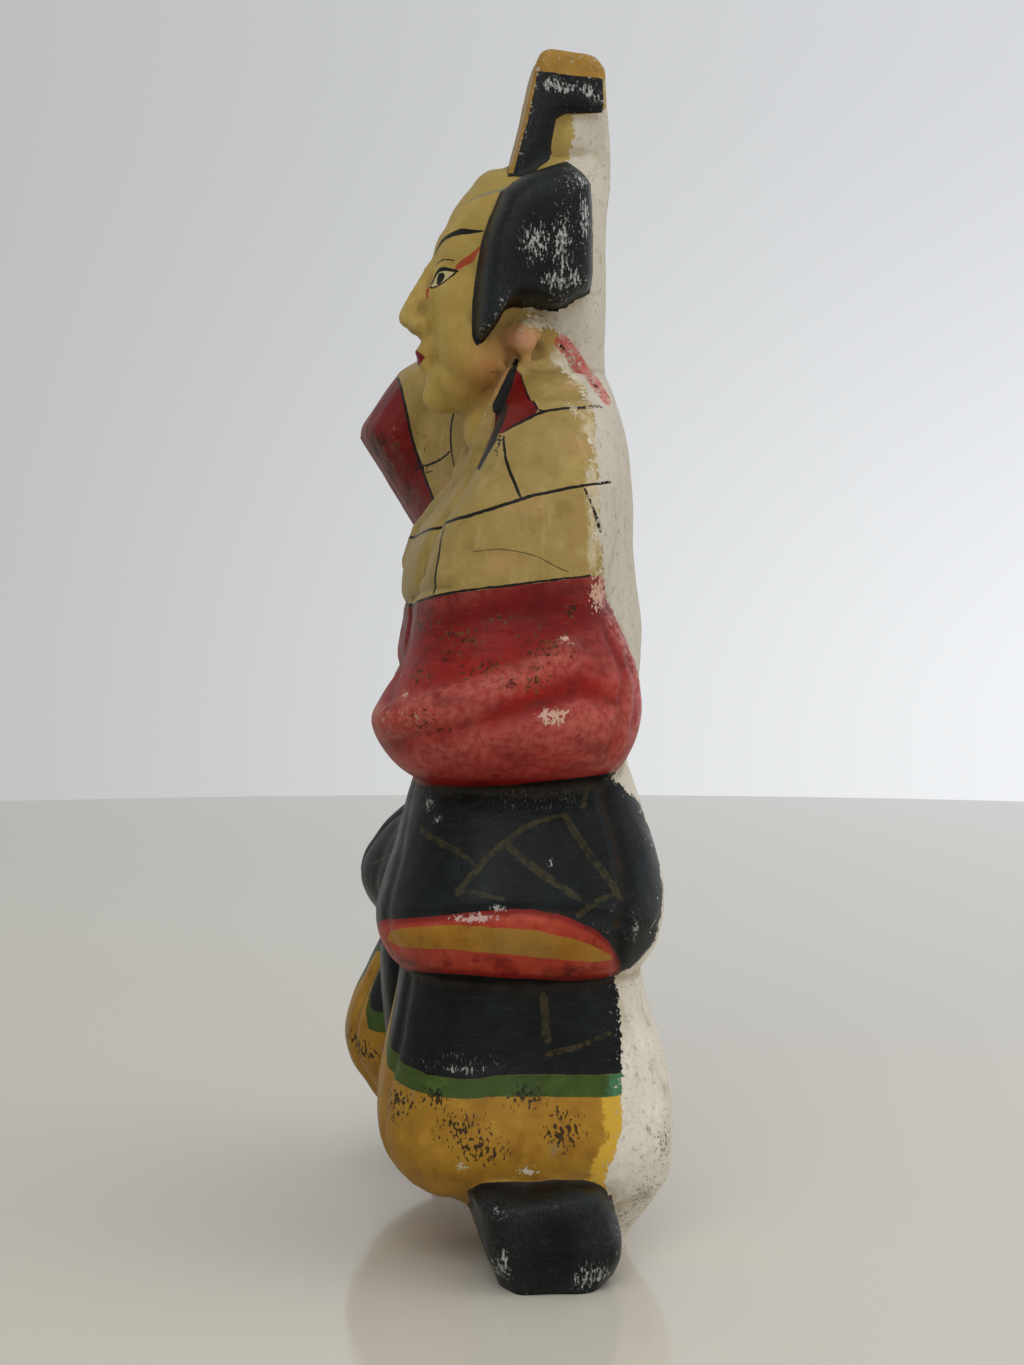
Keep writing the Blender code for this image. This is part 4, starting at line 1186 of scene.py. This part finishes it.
def skin_paint(s, t):
    flesh = s.tones(t.middle, (140, 117, 63), (154, 130, 74), (166, 143, 86))
    flesh = s.tinted(flesh, t.broad, 0.48, 0.7, 0.6, (150, 130, 70))
    flesh = s.tinted(flesh, t.clouds, 0.55, 0.7, 0.45, (184, 142, 96))
    flesh = s.tinted(flesh, t.smudged, 0.55, 0.7, 0.3, (184, 166, 116))
    flesh = s.mix(s.times(t.by_edge, s.ramp(t.smudged, 0.42, 0.62), 0.8), flesh, colour(206, 192, 158))
    specks = s.times(s.ramp(s.noise(1.2, 3, 0.6), 0.68, 0.72), s.ramp(t.clouds, 0.42, 0.58, 0.2, 0.7))
    flesh = s.mix(specks, flesh, colour(104, 78, 42))
    face = s.tones(t.middle, (162, 134, 66), (172, 145, 76), (182, 156, 88))
    face = s.tinted(face, t.broad, 0.48, 0.7, 0.5, (154, 132, 70))
    skin = s.mix(t.painted("face", 0.2, 1.2), flesh, face)
    blush = s.times(s.stored("in_blush"), s.ramp(t.small, 0.2, 0.8, 0.35, 0.6))
    skin = s.mix(blush, skin, colour(184, 108, 74))
    pink = s.times(s.stored("in_pink"), s.ramp(t.small, 0.3, 0.6, 0.5, 0.85))
    skin = s.mix(pink, skin, colour(200, 136, 118))
    crown = s.times(t.painted("crown", 0.5), t.painted("face", 0.2, 0.6), 0.6)
    return s.mix(crown, skin, colour(160, 138, 74))


def red_paint(s, t):
    red = s.tones(t.middle, (112, 16, 15), (132, 22, 19), (148, 30, 25))
    upper = s.ramp(s.height(), 168, 186, 0, 0.65)
    red = s.mix(upper, red, colour(90, 13, 12))
    red = s.tinted(red, s.height(), 200, 212, 0.75, (104, 5, 6))
    # Paler pink on the ridges below the sleeve: rubbed paint, and a painted highlight along the fold
    # crests.
    paler_on_ridges = s.times(s.ramp(t.broad_hollow, 0.1, -0.9), s.ramp(t.small, 0.3, 0.65, 0.25, 0.8))
    paler_on_ridges = s.times(paler_on_ridges, s.ramp(s.height(), 206, 196, 0.1, 0.9))
    red = s.mix(paler_on_ridges, red, colour(186, 98, 86))
    red = s.tinted(red, t.brushed, 0.52, 0.75, 0.35, (164, 50, 40))
    streaks = s.noise(9, 4, 0.6, s.stretched(0.5, 0.5, 1.2))
    red = s.tinted(red, streaks, 0.5, 0.7, 0.5, (84, 13, 14))
    # Painted shade: darker red down in the broad hollows between the folds.
    red = s.tinted(red, t.broad_hollow, 0.15, 1.0, 0.6, (80, 12, 14))
    blotched = s.times(s.ramp(s.stored("in_mould"), 0.25, 0.8), s.ramp(t.middle, 0.47, 0.6))
    blotched = s.times(blotched, s.ramp(s.height(), 200, 212, 0, 0.75))
    red = s.mix(blotched, red, colour(44, 6, 8))
    edge = s.times(t.by_edge, s.ramp(t.small, 0.4, 0.62, 0, 0.8))
    return s.mix(edge, red, colour(186, 112, 104))


def lens_paint(s, t):
    red = s.tones(t.middle, (142, 48, 34), (164, 60, 42), (176, 76, 56))
    red = s.tinted(red, s.noise(7, 3), 0.52, 0.68, 0.7, (110, 22, 22))
    rim = s.ramp(s.maths("ADD", s.stored("to_lens"), t.small), 2.9, 1.2, 0, 0.8)
    red = s.mix(rim, red, colour(118, 22, 24))
    smoke = s.times(s.stored("in_smoke"), s.ramp(t.small, 0.35, 0.6, 0.3, 0.95))
    red = s.mix(smoke, red, colour(66, 30, 28))
    ochre = s.tones(t.middle, (138, 94, 28), (154, 108, 36), (166, 120, 46))
    ochre = s.tinted(ochre, t.broad, 0.5, 0.66, 0.5, (142, 112, 58))
    return s.mix(t.painted("ochre"), red, ochre)


def black_paint(s, t):
    black = s.tones(t.middle, (11, 12, 12), (16, 18, 18), (24, 27, 27))
    black = s.tinted(black, t.brushed, 0.5, 0.78, 0.55, (38, 41, 40))
    black = s.tinted(black, t.clouds, 0.52, 0.7, 0.6, (24, 33, 36))
    # Paler grey where the black is rubbed on the ridges.
    paler_on_ridges = s.times(s.ramp(t.broad_hollow, -0.2, -1.2), s.ramp(t.rubbed, 0.4, 0.65, 0.15, 0.6))
    black = s.mix(paler_on_ridges, black, colour(48, 52, 50))
    dust = s.times(s.ramp(s.noise(0.7, 4, 0.7), 0.56, 0.7), s.ramp(t.smudged, 0.44, 0.62), 0.4)
    black = s.mix(dust, black, colour(82, 78, 66))
    rim = s.ramp(s.stored("to_hair_rim"), -1, 3.8, 0.7, 0)
    return s.mix(s.times(rim, s.ramp(t.smudged, 0.3, 0.6, 0.5, 1)), black, colour(84, 96, 96))


def green_paint(s, t):
    green = s.tones(t.middle, (48, 62, 20), (60, 77, 28), (72, 92, 38))
    green = s.tinted(green, t.clouds, 0.5, 0.66, 0.5, (54, 82, 38))
    return s.mix(s.times(t.by_edge, 0.8), green, colour(70, 122, 88))


def yellow_paint(s, t):
    yellow = s.tones(t.middle, (140, 98, 28), (158, 115, 37), (172, 130, 48))
    yellow = s.tinted(yellow, t.broad, 0.5, 0.7, 0.5, (150, 116, 56))
    yellow = s.tinted(yellow, s.noise(11, 4), 0.6, 0.68, 0.5, (136, 118, 84))
    reach = s.maths("ADD", t.past_edge, s.ramp(s.height(), 16, 30, 0, 0.8))
    reach = s.scaled(t.loose, 1.5, reach)
    lemon = s.ramp(reach, -4.6, -4.0)
    lemon_rim = s.times(lemon, s.ramp(reach, -3.7, -4.2))
    yellow = s.mix(s.times(lemon, 0.85), yellow, colour(208, 166, 58))
    return s.mix(s.times(lemon_rim, 0.5), yellow, colour(120, 84, 30))


def gilt_paint(s, t):
    gilt = s.tones(t.middle, (138, 100, 38), (156, 118, 52), (172, 136, 68))
    gilt = s.tinted(gilt, t.clouds, 0.48, 0.66, 0.6, (118, 98, 42))
    return s.tinted(gilt, t.ragged, 0.6, 0.7, 0.5, (196, 160, 70))


def paint_layers(s, t):
    """Every colour in the order that it was brushed on, and how much of it is black or glossy red."""
    green = t.painted("green")
    black = s.times(t.painted("black"), s.maths("SUBTRACT", 1, green))
    red = t.painted("red")
    lens = t.painted("lens")
    paint = skin_paint(s, t)
    paint = s.mix(t.painted("yellow"), paint, yellow_paint(s, t))
    paint = s.mix(red, paint, red_paint(s, t))
    paint = s.mix(green, paint, green_paint(s, t))
    paint = s.mix(black, paint, black_paint(s, t))
    paint = s.mix(lens, paint, lens_paint(s, t))
    paint = s.mix(t.painted("gilt"), paint, gilt_paint(s, t))
    paint = s.mix(t.painted("eye", 0.15, 0.08), paint, colour(196, 180, 130))
    paint = s.mix(t.painted("pupil", 0.1, 0.08), paint, colour(20, 17, 14))
    paint = s.mix(s.times(t.drawn("rouge"), 0.85), paint, colour(160, 44, 38))
    gold = s.most(t.drawn("gold_a"), t.drawn("gold_b"))
    gold = s.times(gold, s.ramp(t.small, 0.32, 0.62, 0.05, 0.42), black)
    paint = s.mix(gold, paint, colour(84, 74, 40))
    return paint, black, s.most(red, lens)


def spots(s, t):
    """Mildew in clusters, densest at the middle of each."""
    marks = s.noise(1.0, 3, 0.55, s.stretched(1, 1, 0.6))
    level = s.scaled(s.stored("in_spots"), 0.2, marks)
    return s.times(s.ramp(level, 0.67, 0.7), s.ramp(s.stored("in_spots"), 0.06, 0.3))


def mould(s, t):
    """Small greenish brown flecks strewn over the red cloth."""
    marks = s.scaled(s.stored("in_mould"), 0.145, s.noise(1.7, 5, 0.7))
    return s.times(s.ramp(marks, 0.645, 0.68), s.ramp(s.stored("in_mould"), 0.05, 0.4))


def lost_paint(s, t):
    """Where paint has flaked or rubbed off to the white ground."""
    on_body = s.times(s.ramp(s.height(), 188, 204), s.ramp(s.height(), 268, 260))
    beside = s.times(t.by_edge, s.blend(on_body, 0.13, 0.24))
    flaking = s.scaled(s.stored("in_flakes"), 0.36, beside)
    flaked = s.ramp(s.maths("ADD", t.ragged, flaking), 0.74, 0.77)
    flecking = s.scaled(s.stored("in_flecks"), 0.205, t.rubbed)
    flecked = s.times(s.ramp(flecking, 0.655, 0.73), s.ramp(s.stored("in_flecks"), 0.1, 0.45))
    strewn = s.times(s.ramp(s.noise(1.0, 4, 0.7), 0.74, 0.77), s.ramp(t.middle, 0.5, 0.6))
    edges = s.times(s.ramp(t.fine_hollow, -0.8, -1.7), s.ramp(t.ragged, 0.55, 0.63))
    return s.most(flaked, s.times(flecked, 0.8), s.times(strewn, 0.7), s.times(edges, 0.7))


def relief(s, t, covered):
    """Brush marks, pores, the thickness of the paint and the hollows where it is lost."""
    height = s.times(covered, 0.14)
    height = s.scaled(t.brushed, 0.12, height)
    height = s.scaled(t.small, 0.16, height)
    height = s.scaled(t.grain, 0.06, height)
    height = s.scaled(t.drawn("fine"), -0.3, height)
    pores = s.times(s.ramp(s.cells(5.5), 0.05, 0.14, -0.5, 0), s.ramp(t.middle, 0.5, 0.6))
    bump = s.node("ShaderNodeBump")
    bump.inputs["Strength"].default_value = 0.7
    bump.inputs["Distance"].default_value = U
    s.feed(bump.inputs["Height"], s.maths("ADD", height, pores))
    return bump.outputs["Normal"]


def painted_clay():
    material = bpy.data.materials.new("painted_clay")
    s = Shades(material)
    t = Texture(s)
    paint, black, glossy = paint_layers(s, t)
    paint = s.mix(s.times(spots(s, t), 0.9), paint, colour(30, 27, 20))
    mouldy = s.mix(s.ramp(t.small, 0.45, 0.55), colour(38, 22, 14), colour(92, 66, 30))
    paint = s.mix(s.times(mould(s, t), 0.8), paint, mouldy)
    # Darker brown in the fine hollows, over the paint.
    hollow_darkening = s.times(s.ramp(t.fine_hollow, 0.12, 1.1), s.ramp(t.middle, 0.3, 0.65, 0.35, 0.85))
    paint = s.mix(hollow_darkening, paint, s.mix(0.5, colour(58, 42, 24), paint))
    hatching = s.ramp(s.noise(0.6, 3, 0.6, s.stretched(1, 1, 0.3)), 0.58, 0.66)
    hatching = s.times(hatching, s.ramp(s.stored("in_hatch"), 0.25, 0.6), 0.5)
    paint = s.mix(s.times(hatching, black), paint, colour(118, 116, 104))

    lost = lost_paint(s, t)
    ground = s.mix(s.ramp(t.middle, 0.4, 0.6), colour(206, 196, 176), colour(186, 170, 136))
    ground = s.mix(black, ground, colour(184, 184, 178))
    ground = s.mix(s.times(glossy, 0.55), ground, colour(196, 128, 116))
    bare = s.ramp(t.past_edge, -0.18, 0.18)
    shown = s.mix(lost, paint, ground)
    shown = s.mix(bare, shown, bare_clay(s, t))
    nape = s.times(t.painted("nape"), s.ramp(t.ragged, 0.6, 0.5))
    nape_red = s.mix(s.ramp(t.small, 0.4, 0.6), colour(176, 62, 58), colour(190, 104, 98))
    shown = s.mix(s.times(nape, 0.85), shown, nape_red)
    ink = s.most(t.drawn("ink_a"), t.drawn("ink_b"))
    ink = s.times(ink, s.ramp(s.stored("to_white"), 5.5, 4), s.maths("SUBTRACT", 1, s.times(lost, 0.8)))
    shown = s.mix(ink, shown, colour(24, 22, 20))
    shown = s.mix(s.times(t.drawn("fine"), 0.75), shown, colour(84, 70, 44))
    shown = s.mix(s.times(t.drawn("haze"), 0.6), shown, colour(120, 126, 112))

    gloss = s.blend(black, 0.46, 0.4)
    gloss = s.blend(glossy, gloss, 0.44)
    gloss = s.scaled(s.maths("SUBTRACT", t.middle, 0.5), 0.35, gloss)
    off = s.most(bare, lost)

    shader = s.node("ShaderNodeBsdfPrincipled")
    s.feed(shader.inputs["Base Color"], shown)
    s.feed(shader.inputs["Roughness"], s.blend(off, gloss, 0.82))
    s.feed(shader.inputs["Normal"], relief(s, t, s.maths("SUBTRACT", 1, off)))
    shader.inputs["Specular IOR Level"].default_value = 0.13
    output = s.node("ShaderNodeOutputMaterial")
    s.feed(output.inputs["Surface"], shader.outputs[0])
    return material


doll.data.materials.clear()
doll.data.materials.append(painted_clay())
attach(doll, "root")
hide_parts("kabuki_doll")


# Studio

CAMERA_AZIMUTH = 84
CAMERA_DISTANCE = 0.74
CAMERA_HEIGHT = 0.189
CAMERA_PITCH = 1.98
FOCAL_LENGTH_PX = 2381
LONG_SIDE_PX = 1365
SENSOR_MM = 36
TABLE_EDGE_AWAY = 1.57
LIGHTS_AIM = (0, 0, 0.16)


def plain(name, level, roughness, specular):
    material = bpy.data.materials.new(name)
    material.use_nodes = True
    shader = material.node_tree.nodes["Principled BSDF"]
    shader.inputs["Base Color"].default_value = level
    shader.inputs["Roughness"].default_value = roughness
    shader.inputs["Specular IOR Level"].default_value = specular
    return material


def add_table():
    bpy.ops.mesh.primitive_circle_add(vertices=128, radius=TABLE_EDGE_AWAY, fill_type="NGON")
    table = bpy.context.object
    table.name = "table"
    table.data.materials.append(plain("table", colour(212, 205, 191), 0.1, 0.3))


def add_light(name, place, size, watts, shines=True):
    data = bpy.data.lights.new(name, "AREA")
    data.shape = "DISK"
    data.size = size
    data.energy = watts
    light = bpy.data.objects.new(name, data)
    bpy.context.collection.objects.link(light)
    light.location = place
    light.visible_glossy = shines
    aim = Vector(LIGHTS_AIM) - light.location
    light.rotation_euler = aim.to_track_quat("-Z", "Y").to_euler()


def add_world():
    """A pale surround, brighter behind the figure's back."""
    world = bpy.data.worlds.new("studio")
    bpy.context.scene.world = world
    world.use_nodes = True
    tree = world.node_tree
    direction = tree.nodes.new("ShaderNodeSeparateXYZ")
    tree.links.new(tree.nodes.new("ShaderNodeTexCoord").outputs["Generated"], direction.inputs[0])

    def graded(axis, low, high, start):
        """From this colour to another as the direction goes from low to high along an axis."""
        share = tree.nodes.new("ShaderNodeMapRange")
        share.interpolation_type = "SMOOTHSTEP"
        share.inputs["From Min"].default_value = low
        share.inputs["From Max"].default_value = high
        tree.links.new(direction.outputs[axis], share.inputs["Value"])
        mix = tree.nodes.new("ShaderNodeMix")
        mix.data_type = "RGBA"
        mix.inputs[6].default_value = start
        tree.links.new(share.outputs["Result"], mix.inputs["Factor"])
        return mix

    behind = graded("Z", 0.24, -0.06, colour(220, 222, 226))
    behind.inputs[7].default_value = colour(250, 252, 255)
    around = graded("Y", -0.25, 0.5, colour(186, 188, 186))
    tree.links.new(behind.outputs[2], around.inputs[7])
    tree.links.new(around.outputs[2], tree.nodes["Background"].inputs["Color"])


def add_camera():
    data = bpy.data.cameras.new("camera")
    data.sensor_width = SENSOR_MM
    data.lens = SENSOR_MM * FOCAL_LENGTH_PX / LONG_SIDE_PX
    camera = bpy.data.objects.new("camera", data)
    bpy.context.collection.objects.link(camera)
    turn = math.radians(CAMERA_AZIMUTH)
    away = Vector((math.sin(turn), -math.cos(turn), 0)) * CAMERA_DISTANCE
    camera.location = away + Vector((shift.x, shift.y, CAMERA_HEIGHT))
    camera.rotation_euler = (math.radians(90 - CAMERA_PITCH), 0, turn)
    bpy.context.scene.camera = camera


add_table()
add_world()
add_light("key", (0.9, -0.25, 1.0), 0.8, 3.8)
add_light("top", (0.1, 0.5, 1.6), 1.2, 2.2)
add_light("low", (0.5, 1.1, 0.25), 0.7, 2.5, shines=False)
add_camera()
bpy.context.scene.view_settings.view_transform = "Standard"
